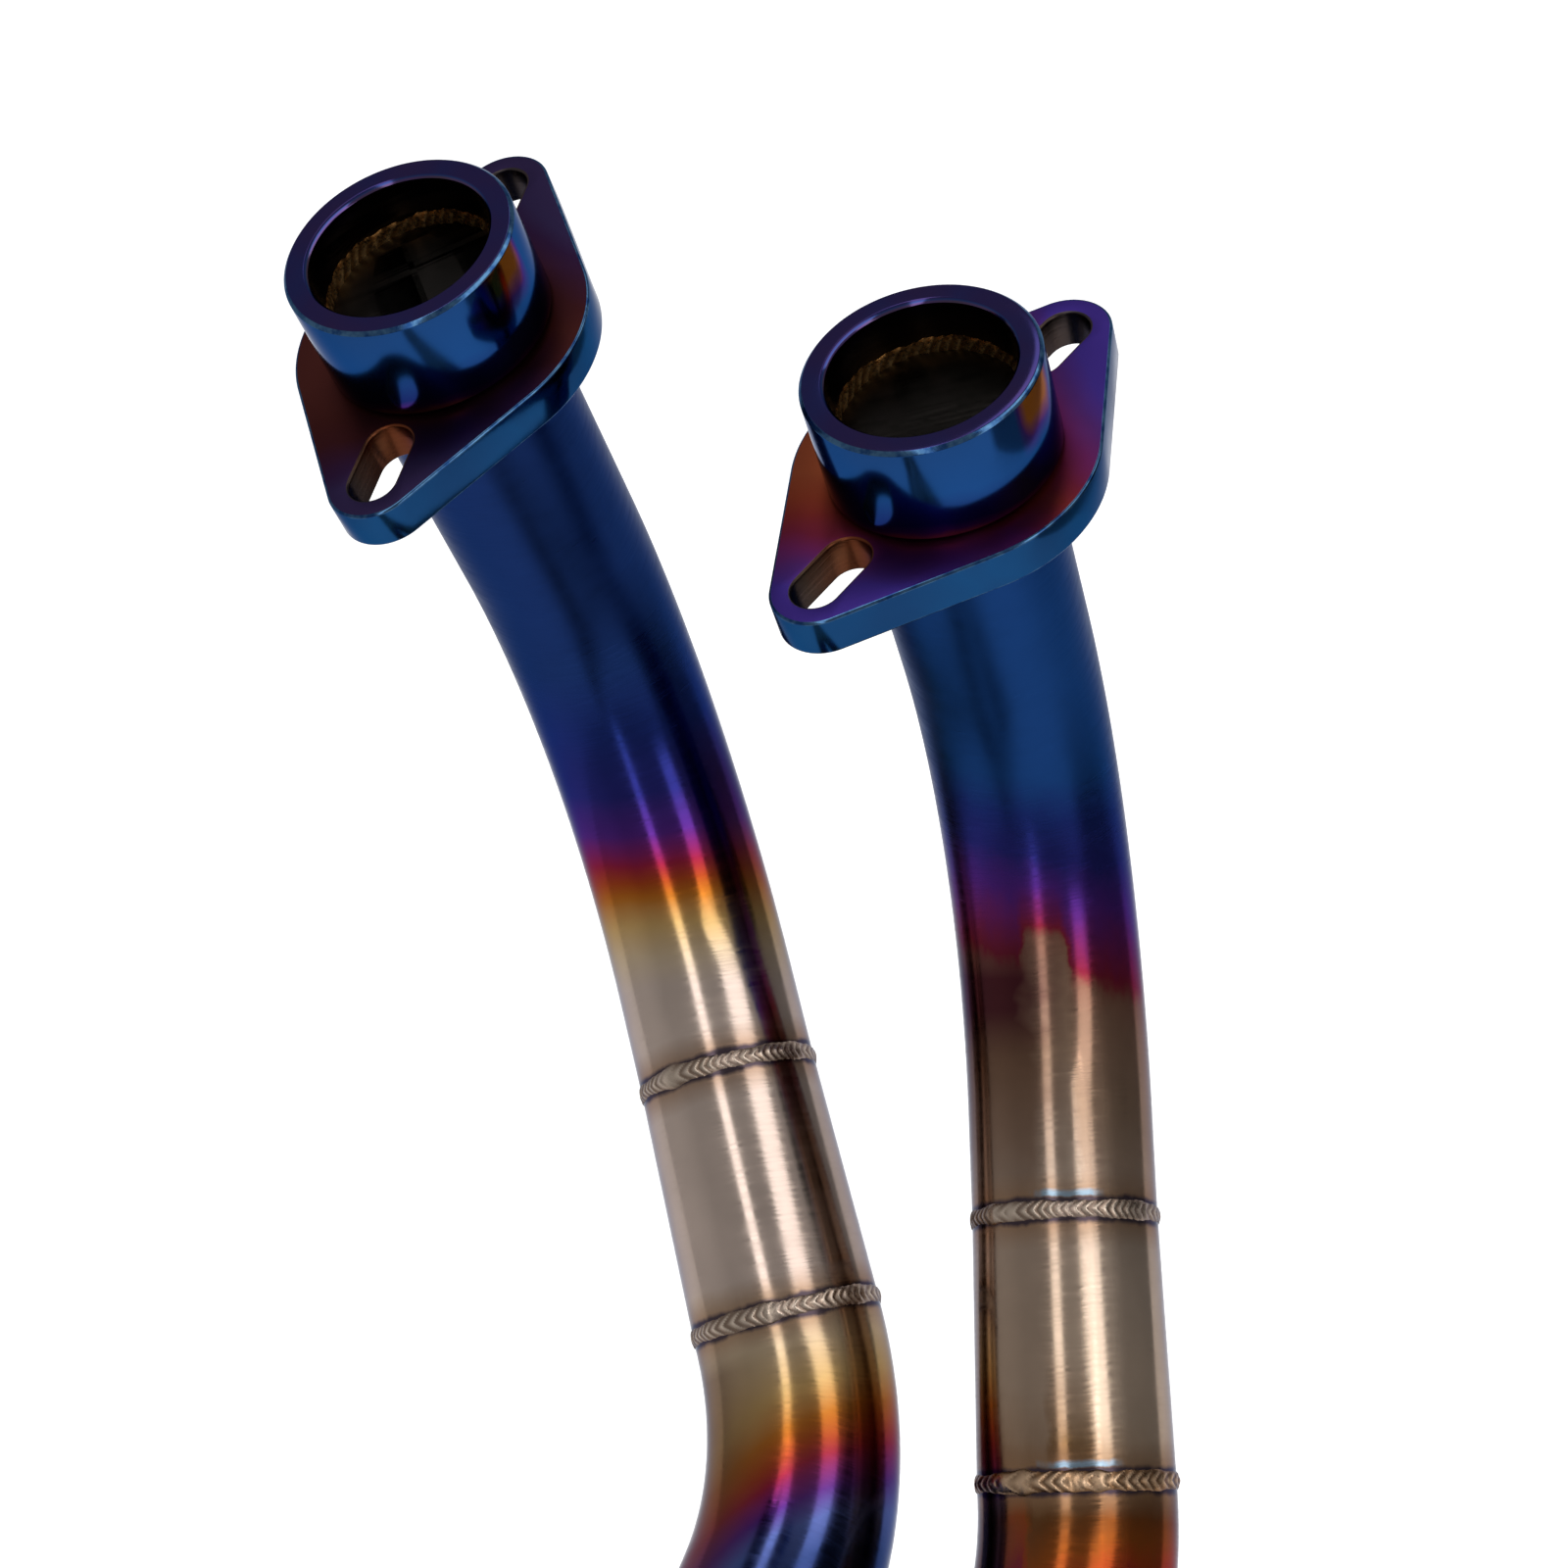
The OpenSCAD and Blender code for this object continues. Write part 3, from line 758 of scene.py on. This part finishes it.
def swept_shell(stations, wall):
    """A tube through stations, each a frame, an outer radius and a distance from the mouth."""
    shape = bmesh.new()
    straight = shape.verts.layers.float_vector.new("straight")
    ends = []
    for inset in (0, wall):
        station, radius, distance = stations[0]
        ring = bmesh.ops.create_circle(
            shape, segments=TUBE_SEGMENTS, radius=radius - inset, matrix=station,
        )
        verts = ring["verts"]
        edges = ring_edges(verts)
        ends.append(edges)
        for index, (station, radius, distance) in enumerate(stations):
            if index:
                before, radius_before, _ = stations[index - 1]
                grown = bmesh.ops.extrude_edge_only(shape, edges=edges)["geom"]
                verts = [part for part in grown if isinstance(part, bmesh.types.BMVert)]
                edges = ring_edges(verts)
                wider = (radius - inset) / (radius_before - inset)
                step = station @ Matrix.Diagonal((wider, wider, 1, 1)) @ before.inverted()
                bmesh.ops.transform(shape, matrix=step, verts=verts)
            back = station.inverted()
            for vert in verts:
                local = back @ vert.co
                vert[straight] = (local.x, local.y, distance)
        ends.append(edges)
    bmesh.ops.bridge_loops(shape, edges=ends[0] + ends[2])
    bmesh.ops.bridge_loops(shape, edges=ends[1] + ends[3])
    bmesh.ops.recalc_face_normals(shape, faces=shape.faces)
    return shape


def bent_stations(place, radius, first_at, start, bend_r, angle, end):
    """Stations along a straight start, a round bend and a straight end."""
    stations = [(place, radius, first_at)]
    steps = ceil(angle / BEND_STEP)
    for step in range(steps + 1):
        turned = angle * step / steps
        bent = place @ along(start) @ round_bend(bend_r, turned)
        stations.append((bent, radius, first_at + start + radians(turned) * bend_r))
    last, _, distance = stations[-1]
    stations.append((last @ along(end), radius, distance + end))
    return stations


def tube(side, name, stations):
    shape = swept_shell(stations, TUBE_WALL)
    finished(SIDE_NAMES[side] + name, shape, [TUBE_MATERIAL[side]], "pipes")


def upper_tube(side):
    stations = bent_stations(
        MOUTH[side] @ along(SEAT_DEPTH), TUBE_R, SEAT_DEPTH,
        NECK[side] - SEAT_DEPTH, UPPER_BEND_R, UPPER_ANGLE[side], TAIL[side],
    )
    tube(side, "_upper_tube", stations)


def middle_tube(side):
    steps = 8
    stations = [
        (
            FIRST_WELD[side] @ along(MIDDLE_LENGTH * step / steps),
            TUBE_R + (LOWER_R - TUBE_R) * step / steps,
            FIRST_WELD_AT[side] + MIDDLE_LENGTH * step / steps,
        )
        for step in range(steps + 1)
    ]
    tube(side, "_middle_tube", stations)


def lower_tube(side):
    stations = bent_stations(
        LOWER_TUBE[side], LOWER_R, SECOND_WELD_AT[side],
        LOWER_START, LOWER_BEND_R, LOWER_ANGLE[side], RUN[side],
    )
    tube(side, "_lower_tube", stations)


def lathed(profile, segments):
    """A closed profile of (radius, height) points, spun about Z."""
    shape = bmesh.new()
    verts = [shape.verts.new((radius, 0, height)) for radius, height in profile]
    edges = [shape.edges.new((verts[i - 1], verts[i])) for i in range(len(verts))]
    bmesh.ops.spin(
        shape, geom=verts + edges, cent=(0, 0, 0), axis=(0, 0, 1), dvec=(0, 0, 0),
        angle=tau, steps=segments, use_merge=True, use_duplicate=False,
    )
    bmesh.ops.remove_doubles(shape, verts=shape.verts, dist=1e-7)
    bmesh.ops.recalc_face_normals(shape, faces=shape.faces)
    return shape


def collar(side):
    """Turned collar, with a chamfer round its mouth in the edge material, partly worn and partly painted
    highlight.
    """
    shape = lathed([
        (MOUTH_R + COLLAR_CHAMFER, 0), (COLLAR_R - COLLAR_CHAMFER, 0), (COLLAR_R, -COLLAR_CHAMFER),
        (COLLAR_R, -COLLAR_HEIGHT + COLLAR_CHAMFER), (COLLAR_R - COLLAR_CHAMFER, -COLLAR_HEIGHT),
        (SOCKET_R, -COLLAR_HEIGHT), (SOCKET_R, -SEAT_DEPTH),
        (MOUTH_R, -SEAT_DEPTH), (MOUTH_R, -COLLAR_CHAMFER),
    ], TURNED_SEGMENTS)
    for face in shape.faces:
        middle = face.calc_center_median()
        sloped = 0.3 < abs(face.normal.z) < 0.95
        outer = middle.xy.length > COLLAR_R - COLLAR_CHAMFER
        face.material_index = int(sloped and outer and middle.z > -SEAT_DEPTH)
    corners = [edge for edge in shape.edges if edge.is_manifold and edge.calc_face_angle() > radians(30)]
    bmesh.ops.bevel(
        shape, geom=corners, offset=0.12 * MM, segments=2, profile=0.5, affect="EDGES", material=-1,
    )
    lay_straight(shape, turn("X", 180))
    bmesh.ops.transform(shape, matrix=PORT[side], verts=shape.verts)
    finished(SIDE_NAMES[side] + "_collar", shape, [COLLAR_MATERIAL, EDGE_MATERIAL], "pipes")


def arc(centre_x, radius, start, end, steps):
    """Points on a round stretch, from one angle to another in degrees."""
    angles = [radians(start + (end - start) * step / steps) for step in range(steps + 1)]
    return [(centre_x + radius * cos(a), radius * sin(a)) for a in angles]


def flange_outline(grown):
    """Body and two ears, joined by their tangents."""
    lean = degrees(acos((FLANGE_BODY_R - EAR_R) / EAR_REACH))
    body, ear = FLANGE_BODY_R + grown, EAR_R + grown
    return (
        arc(EAR_REACH, ear, -lean, lean, 32) + arc(0, body, lean, 180 - lean, 40)
        + arc(-EAR_REACH, ear, 180 - lean, 180 + lean, 32) + arc(0, body, 180 + lean, 360 - lean, 40)
    )


def bore_outline(grown):
    return arc(0, FLANGE_BORE_R + grown, 0, 360, 96)[:-1]


def slot_outline(centre_x, grown):
    radius = SLOT_R + grown
    return (
        arc(centre_x + SLOT_HALF_RUN, radius, -90, 90, 24)
        + arc(centre_x - SLOT_HALF_RUN, radius, 90, 270, 24)
    )


def rounded_wall(shape, outline, outward, material_index, edge_index):
    """A wall on an outline, rounded at both faces. Returns the edges of its two end loops."""
    levels = []
    for step in range(CORNER_STEPS + 1):
        angle = radians(90 * step / CORNER_STEPS)
        levels.append((-outward * FLANGE_ROUNDING * (1 - sin(angle)), FLANGE_ROUNDING * (1 - cos(angle))))
    levels += [(grown, FLANGE_THICKNESS - height) for grown, height in reversed(levels)]
    loops = []
    for grown, height in levels:
        verts = [shape.verts.new((x, y, height)) for x, y in outline(grown)]
        loops.append([shape.edges.new((verts[i - 1], verts[i])) for i in range(len(verts))])
    for index, (lower, upper) in enumerate(zip(loops, loops[1:])):
        for face in bmesh.ops.bridge_loops(shape, edges=lower + upper)["faces"]:
            face.material_index = material_index if index == CORNER_STEPS else edge_index
    return loops[0], loops[-1]


# Places in a flange's list of materials, after the one of its faces
ON_RIM, ON_SLOT, ON_EDGE = 1, 2, 3


def flange(side):
    """Loose flange, with a bore for the tube and a slot for a stud in each ear."""
    shape = bmesh.new()
    walls = [
        rounded_wall(shape, flange_outline, 1, ON_RIM, ON_EDGE),
        rounded_wall(shape, bore_outline, -1, ON_SLOT, ON_SLOT),
        rounded_wall(shape, lambda grown: slot_outline(SLOT_SPACING / 2, grown), -1, ON_SLOT, ON_SLOT),
        rounded_wall(shape, lambda grown: slot_outline(-SLOT_SPACING / 2, grown), -1, ON_SLOT, ON_SLOT),
    ]
    for end in (0, 1):
        rims = [edge for wall in walls for edge in wall[end]]
        bmesh.ops.triangle_fill(shape, use_beauty=True, use_dissolve=False, edges=rims)
    bmesh.ops.recalc_face_normals(shape, faces=shape.faces)
    lay_straight(shape, Matrix())
    place = PORT[side] @ along(-COLLAR_HEIGHT - FLANGE_GAP - FLANGE_THICKNESS) @ turn("Z", EAR_TURN[side])
    bmesh.ops.transform(shape, matrix=place, verts=shape.verts)
    materials = [FLANGE_MATERIAL[side], RIM_MATERIAL, SLOT_MATERIAL, EDGE_MATERIAL]
    name = SIDE_NAMES[side] + "_flange"
    finished(name, shape, materials, name, 50)


# A bead's foot inside the wall and how far it sinks there, as shares of its rise
BEAD_FOOT, BEAD_KEEL, BEAD_SUNK = 0.35, 0.5, 0.06
# A bead's even height and what its ripples add, as shares of its rise
BEAD_BODY, BEAD_RIPPLE = 0.35, 0.27
BEAD_ROWS = 12


def rippled_bead(wall_r, width, rise, ripples, lumps=(), roughened=0.12, widened=0.88):
    """A bead on a round wall, with crescent ripples. rise is below zero on the inside of a bore.

    Each lump is an angle in degrees, a width in degrees and its rise as a share of the bead's."""
    base = wall_r - rise * BEAD_FOOT
    rows = [(base, width * (0.5 - row / BEAD_ROWS)) for row in range(BEAD_ROWS + 1)]
    shape = lathed(rows + [(wall_r - rise * BEAD_KEEL, 0)], BEAD_SEGMENTS)
    crest_layer = shape.verts.layers.float.new("crest")
    for vert in shape.verts:
        x, y, z = vert.co
        radius = sqrt(x * x + y * y)
        if abs(radius - base) > abs(rise) * 0.05:
            continue
        angle = Vector((x, y)).angle_signed(Vector((1, 0)), 0.0)
        across = 2 * z / width
        arch = max(0.0, 1 - across * across) ** 0.6
        waver = 0.35 * sin(3 * angle + 1.3) + 0.25 * sin(7 * angle)
        phase = (ripples * angle / tau + 1.05 * abs(across) ** 1.3 + waver) % 1.0
        ripple = (1 - phase) ** 1.4 if phase > 0.12 else phase / 0.12 * 0.83
        swell = 1 + roughened * (
            sin(11 * angle + 0.6) + 0.7 * sin(23 * angle + 2.1) + 0.5 * sin(41 * angle)
        )
        wider = widened
        for lump_at, lump_width, lump_rise in lumps:
            off = (degrees(angle) - lump_at + 180) % 360 - 180
            near = exp(-(off / lump_width) ** 2)
            swell += lump_rise * near
            wider += 0.3 * lump_rise * near
            ripple += (0.6 - ripple) * near * 0.9
        height = rise * arch * (BEAD_BODY + BEAD_RIPPLE * ripple) * swell
        height = min(height, rise) if rise > 0 else max(height, rise * 1.3)
        reach = wall_r + height - rise * BEAD_SUNK
        uneven = 0.10 * sin(5 * angle) + 0.06 * sin(17 * angle + 1.0) + 0.10 * (ripple - 0.5)
        vert.co.x, vert.co.y = x / radius * reach, y / radius * reach
        vert.co.z = z * (1 + uneven) * wider
        # Ripple height, which the weld materials paint as highlight on crests and shade between them
        vert[crest_layer] = ripple * arch
    bmesh.ops.recalc_face_normals(shape, faces=shape.faces)
    return shape


def outer_weld(name, place, wall_r, ripples, lumps=(), roughened=0.12, metal=BEAD_MATERIAL):
    """Bead round the outside of a pipe."""
    shape = rippled_bead(wall_r, BEAD_WIDTH, BEAD_HEIGHT, ripples, lumps, roughened)
    lay_straight(shape, Matrix())
    bmesh.ops.transform(shape, matrix=place, verts=shape.verts)
    finished(name, shape, [metal], "pipes", 60)


def root_weld(side):
    """Golden bead inside the collar, round the tube's end."""
    shape = rippled_bead(MOUTH_R, ROOT_WIDTH, -ROOT_HEIGHT, ROOT_RIPPLES, roughened=0.25, widened=1.1)
    lay_straight(shape, Matrix())
    bmesh.ops.transform(shape, matrix=PORT[side] @ along(-SEAT_DEPTH), verts=shape.verts)
    finished(SIDE_NAMES[side] + "_collar_weld", shape, [ROOT_MATERIAL], "pipes", 60)


def leg_solid(inlet_r, outlet_r, side, extra):
    """Hull of a lower tube's end and the outlet, as its own mesh."""
    shape = bmesh.new()
    lips = (
        (THIRD_WELD[side], inlet_r, -extra, -extra + COLLECTOR_LIP),
        (OUTLET, outlet_r, extra - COLLECTOR_LIP, extra),
    )
    for place, radius, low, high in lips:
        for height in (low, high):
            bmesh.ops.create_circle(shape, segments=96, radius=radius, matrix=place @ along(height))
    hull = bmesh.ops.convex_hull(shape, input=shape.verts)
    inside = set(hull["geom_interior"] + hull["geom_unused"])
    spare = [part for part in inside if isinstance(part, bmesh.types.BMVert) and part.is_valid]
    bmesh.ops.delete(shape, geom=spare, context="VERTS")
    bmesh.ops.recalc_face_normals(shape, faces=shape.faces)
    mesh = bpy.data.meshes.new("collector leg")
    shape.to_mesh(mesh)
    shape.free()
    leg = bpy.data.objects.new("collector leg", mesh)
    bpy.context.scene.collection.objects.link(leg)
    return leg


def cut_or_joined(target, tool, operation):
    modifier = target.modifiers.new(operation.lower(), "BOOLEAN")
    modifier.operation, modifier.object, modifier.solver = operation, tool, "EXACT"
    bpy.context.view_layer.update()
    result = bpy.data.meshes.new_from_object(target.evaluated_get(bpy.context.evaluated_depsgraph_get()))
    target.modifiers.clear()
    target.data = result
    bpy.data.objects.remove(tool)


def collector():
    """Two legs that run into one outlet, hollow right through."""
    body = leg_solid(LOWER_R, OUTLET_R, LEFT, 0)
    cut_or_joined(body, leg_solid(LOWER_R, OUTLET_R, RIGHT, 0), "UNION")
    for side in (LEFT, RIGHT):
        hollow = leg_solid(LOWER_R - OUTLET_WALL, OUTLET_R - OUTLET_WALL, side, 1 * MM)
        cut_or_joined(body, hollow, "DIFFERENCE")
    shape = bmesh.new()
    shape.from_mesh(body.data)
    bpy.data.objects.remove(body)
    lay_straight(shape, OUTLET)
    finished("collector", shape, [COLLECTOR_MATERIAL], "pipes", 28)


def outlet_sleeve():
    edge = 0.4 * MM
    inner = OUTLET_R - OUTLET_WALL
    shape = lathed([
        (inner, 0), (OUTLET_R, 0), (OUTLET_R, OUTLET_LENGTH - edge), (OUTLET_R - edge, OUTLET_LENGTH),
        (inner + edge, OUTLET_LENGTH), (inner, OUTLET_LENGTH - edge),
    ], TURNED_SEGMENTS)
    lay_straight(shape, Matrix())
    bmesh.ops.transform(shape, matrix=OUTLET, verts=shape.verts)
    finished("outlet_sleeve", shape, [COLLECTOR_MATERIAL], "pipes")


# Where a welder stopped and started, as angles round the pipe from the inside of its first bend
FIRST_WELD_LUMPS = (((29, 8, 0.75),), ((38, 6, 0.55), (25, 4, -0.15)))
SECOND_WELD_LUMPS = (((-2, 5, 0.60),), ((34, 7, 0.60), (21, 5, 0.60), (-8, 6, 0.75), (-22, 5, 0.6)))
# Ripples, roughness and metal of the second welds: the right one was run hotter
SECOND_WELD_RUN = ((BEAD_RIPPLES, 0.12, BEAD_MATERIAL), (HOT_BEAD_RIPPLES, 0.22, HOT_BEAD_MATERIAL))

for side in (LEFT, RIGHT):
    collar(side)
    root_weld(side)
    flange(side)
    upper_tube(side)
    middle_tube(side)
    lower_tube(side)
    name = SIDE_NAMES[side]
    outer_weld(name + "_first_weld", FIRST_WELD[side], TUBE_R, BEAD_RIPPLES, FIRST_WELD_LUMPS[side])
    ripples, roughened, metal = SECOND_WELD_RUN[side]
    outer_weld(
        name + "_second_weld", SECOND_WELD[side], LOWER_R, ripples, SECOND_WELD_LUMPS[side], roughened, metal,
    )
    outer_weld(name + "_third_weld", THIRD_WELD[side] @ along(-BESIDE), LOWER_R, BEAD_RIPPLES)
collector()
outer_weld("collector_weld", OUTLET @ along(BESIDE), OUTLET_R, OUTLET_RIPPLES)
outlet_sleeve()


# Studio, set up round the middle of the branches

STUDIO_MIDDLE = Vector((0.07, -0.10, 0))
LAMP_MIDDLE = Vector((0.07, -0.10, -0.15))
LAMP_DISTANCE = 1.3
NARROW_RADIANCE = 2.7
WIDE_RADIANCE = 2.5
FLOOR_HALF = 6
FLOOR_HEIGHT = -0.62
FLOOR_GLOW = 0.55


def studio_piece(name, shape):
    """Makes a piece of the studio, with an empty material of its own. Returns it and that material's tree."""
    mesh = bpy.data.meshes.new(name)
    shape.to_mesh(mesh)
    shape.free()
    made = bpy.data.materials.new(name)
    made.use_nodes = True
    made.node_tree.nodes.clear()
    mesh.materials.append(made)
    piece = bpy.data.objects.new(name, mesh)
    bpy.context.scene.collection.objects.link(piece)
    return piece, made.node_tree


def pale_floor():
    """A wide floor that keeps the object's shadow and shows as white."""
    shape = bmesh.new()
    place = Matrix.Translation((0, 0, FLOOR_HEIGHT))
    bmesh.ops.create_grid(shape, x_segments=1, y_segments=1, size=FLOOR_HALF, matrix=place)
    floor, tree = studio_piece("floor", shape)
    paint = node(tree, "BsdfPrincipled", {
        "Base Color": (0.85, 0.85, 0.85, 1), "Roughness": 0.9, "Specular IOR Level": 0.1,
    })
    rays = node(tree, "LightPath").outputs
    seen = plus(tree, rays["Is Glossy Ray"], rays["Is Transmission Ray"], rays["Is Camera Ray"])
    seen = math(tree, "MINIMUM", seen, 1.0)
    glow = node(tree, "Emission", {"Color": (1, 1, 1, 1), "Strength": times(tree, seen, FLOOR_GLOW)})
    both = node(tree, "AddShader", {0: paint.outputs[0], 1: glow.outputs[0]})
    node(tree, "OutputMaterial", {"Surface": both.outputs[0]})


STUDIO_GREY = 0.50
LEFT_GREY = 0.66


def studio_world():
    """Grey studio, lighter to the left."""
    world = bpy.data.worlds.new("studio")
    world.use_nodes = True
    tree = world.node_tree
    tree.nodes.clear()
    parts = parts_of(tree, node(tree, "TexCoord").outputs["Generated"])
    rightward = plus(tree, times(tree, parts["X"], 0.86), times(tree, parts["Y"], 0.5))
    level = ranged(tree, rightward, -0.98, -0.72, LEFT_GREY, STUDIO_GREY)
    background = node(tree, "Background", {"Color": grey(tree, level), "Strength": 1.0})
    node(tree, "OutputWorld", {"Surface": background.outputs[0]})
    bpy.context.scene.world = world


def flag(name, heading, distance, low, high, half_width, fade, shade):
    """An upright card at a heading from the object, which mirrors it. The camera doesn't see it.

    It is plain to half_width either side, then fades out, as it does below its top."""
    outward = turn("Z", heading) @ Vector((1, 0, 0))
    sideways = turn("Z", heading) @ Vector((0, 1, 0))
    shape = bmesh.new()
    layer = shape.verts.layers.float_vector.new("straight")
    for vert in bmesh.ops.create_grid(shape, x_segments=1, y_segments=1, size=1)["verts"]:
        across, up = vert.co.x * (half_width + fade), (low + high) / 2 + vert.co.y * (high - low) / 2
        vert[layer] = (across, up, 0)
        vert.co = STUDIO_MIDDLE + distance * outward + across * sideways + Vector((0, 0, up))
    card, tree = studio_piece(name, shape)
    card.visible_camera = False
    cloth = node(tree, "BsdfPrincipled", {
        "Base Color": (shade, shade, shade, 1), "Roughness": 1.0, "Specular IOR Level": 0.0,
    })
    parts = parts_of(tree, straight_of(tree))
    shown = times(
        tree, ranged(tree, math(tree, "ABSOLUTE", parts["X"]), half_width + fade, half_width),
        ranged(tree, parts["Y"], high, high - 2 * fade),
    )
    clear = node(tree, "BsdfTransparent")
    blend = node(tree, "MixShader", {0: shown, 1: clear.outputs[0], 2: cloth.outputs[0]})
    node(tree, "OutputMaterial", {"Surface": blend.outputs[0]})


def strip_light(name, towards, running, length, width, radiance):
    """A long narrow lamp that faces the object, with its length along a direction."""
    facing = Vector(towards).normalized()
    length_axis = (Vector(running) - Vector(running).dot(facing) * facing).normalized()
    lamp = bpy.data.lights.new(name, "AREA")
    lamp.shape = "RECTANGLE"
    lamp.size, lamp.size_y = length, width
    lamp.energy = radiance * pi * length * width
    light = bpy.data.objects.new(name, lamp)
    axes = Matrix((length_axis, facing.cross(length_axis), facing)).transposed().to_4x4()
    light.matrix_world = Matrix.Translation(LAMP_MIDDLE + facing * LAMP_DISTANCE) @ axes
    bpy.context.scene.collection.objects.link(light)


def photo_camera():
    camera = bpy.data.objects.new("camera", bpy.data.cameras.new("camera"))
    camera.data.lens = CAMERA_LENS
    camera.data.sensor_width = 36
    axes = Matrix((CAMERA_RIGHT, CAMERA_UP, CAMERA_RIGHT.cross(CAMERA_UP))).transposed().to_4x4()
    camera.matrix_world = Matrix.Translation(CAMERA_PLACE) @ axes
    bpy.context.scene.collection.objects.link(camera)
    bpy.context.scene.camera = camera


photo_camera()
pale_floor()
studio_world()
flag("grey flag", heading=22, distance=0.68, low=-0.61, high=0.16, half_width=0.48, fade=0.10, shade=0.42)
flag("black flag", heading=34, distance=0.62, low=-0.25, high=0.12, half_width=0.075, fade=0.03, shade=0.05)
strip_light("narrow strip", (0.07, -0.42, 0.90), (0.31, -0.95, 0.0), 5.0, 0.24, NARROW_RADIANCE)
strip_light("narrow strip back", (-0.08, 0.56, 0.83), (0.02, -0.83, 0.56), 0.95, 0.20, NARROW_RADIANCE)
strip_light("wide strip", (0.64, 0.36, 0.68), (0.1, -1.0, 0.5), 1.5, 0.40, WIDE_RADIANCE)
strip_light("wide strip front", (0.84, -0.24, 0.45), (0.15, -0.35, -0.49), 0.95, 0.38, WIDE_RADIANCE)
bpy.context.scene.view_settings.view_transform = "Standard"
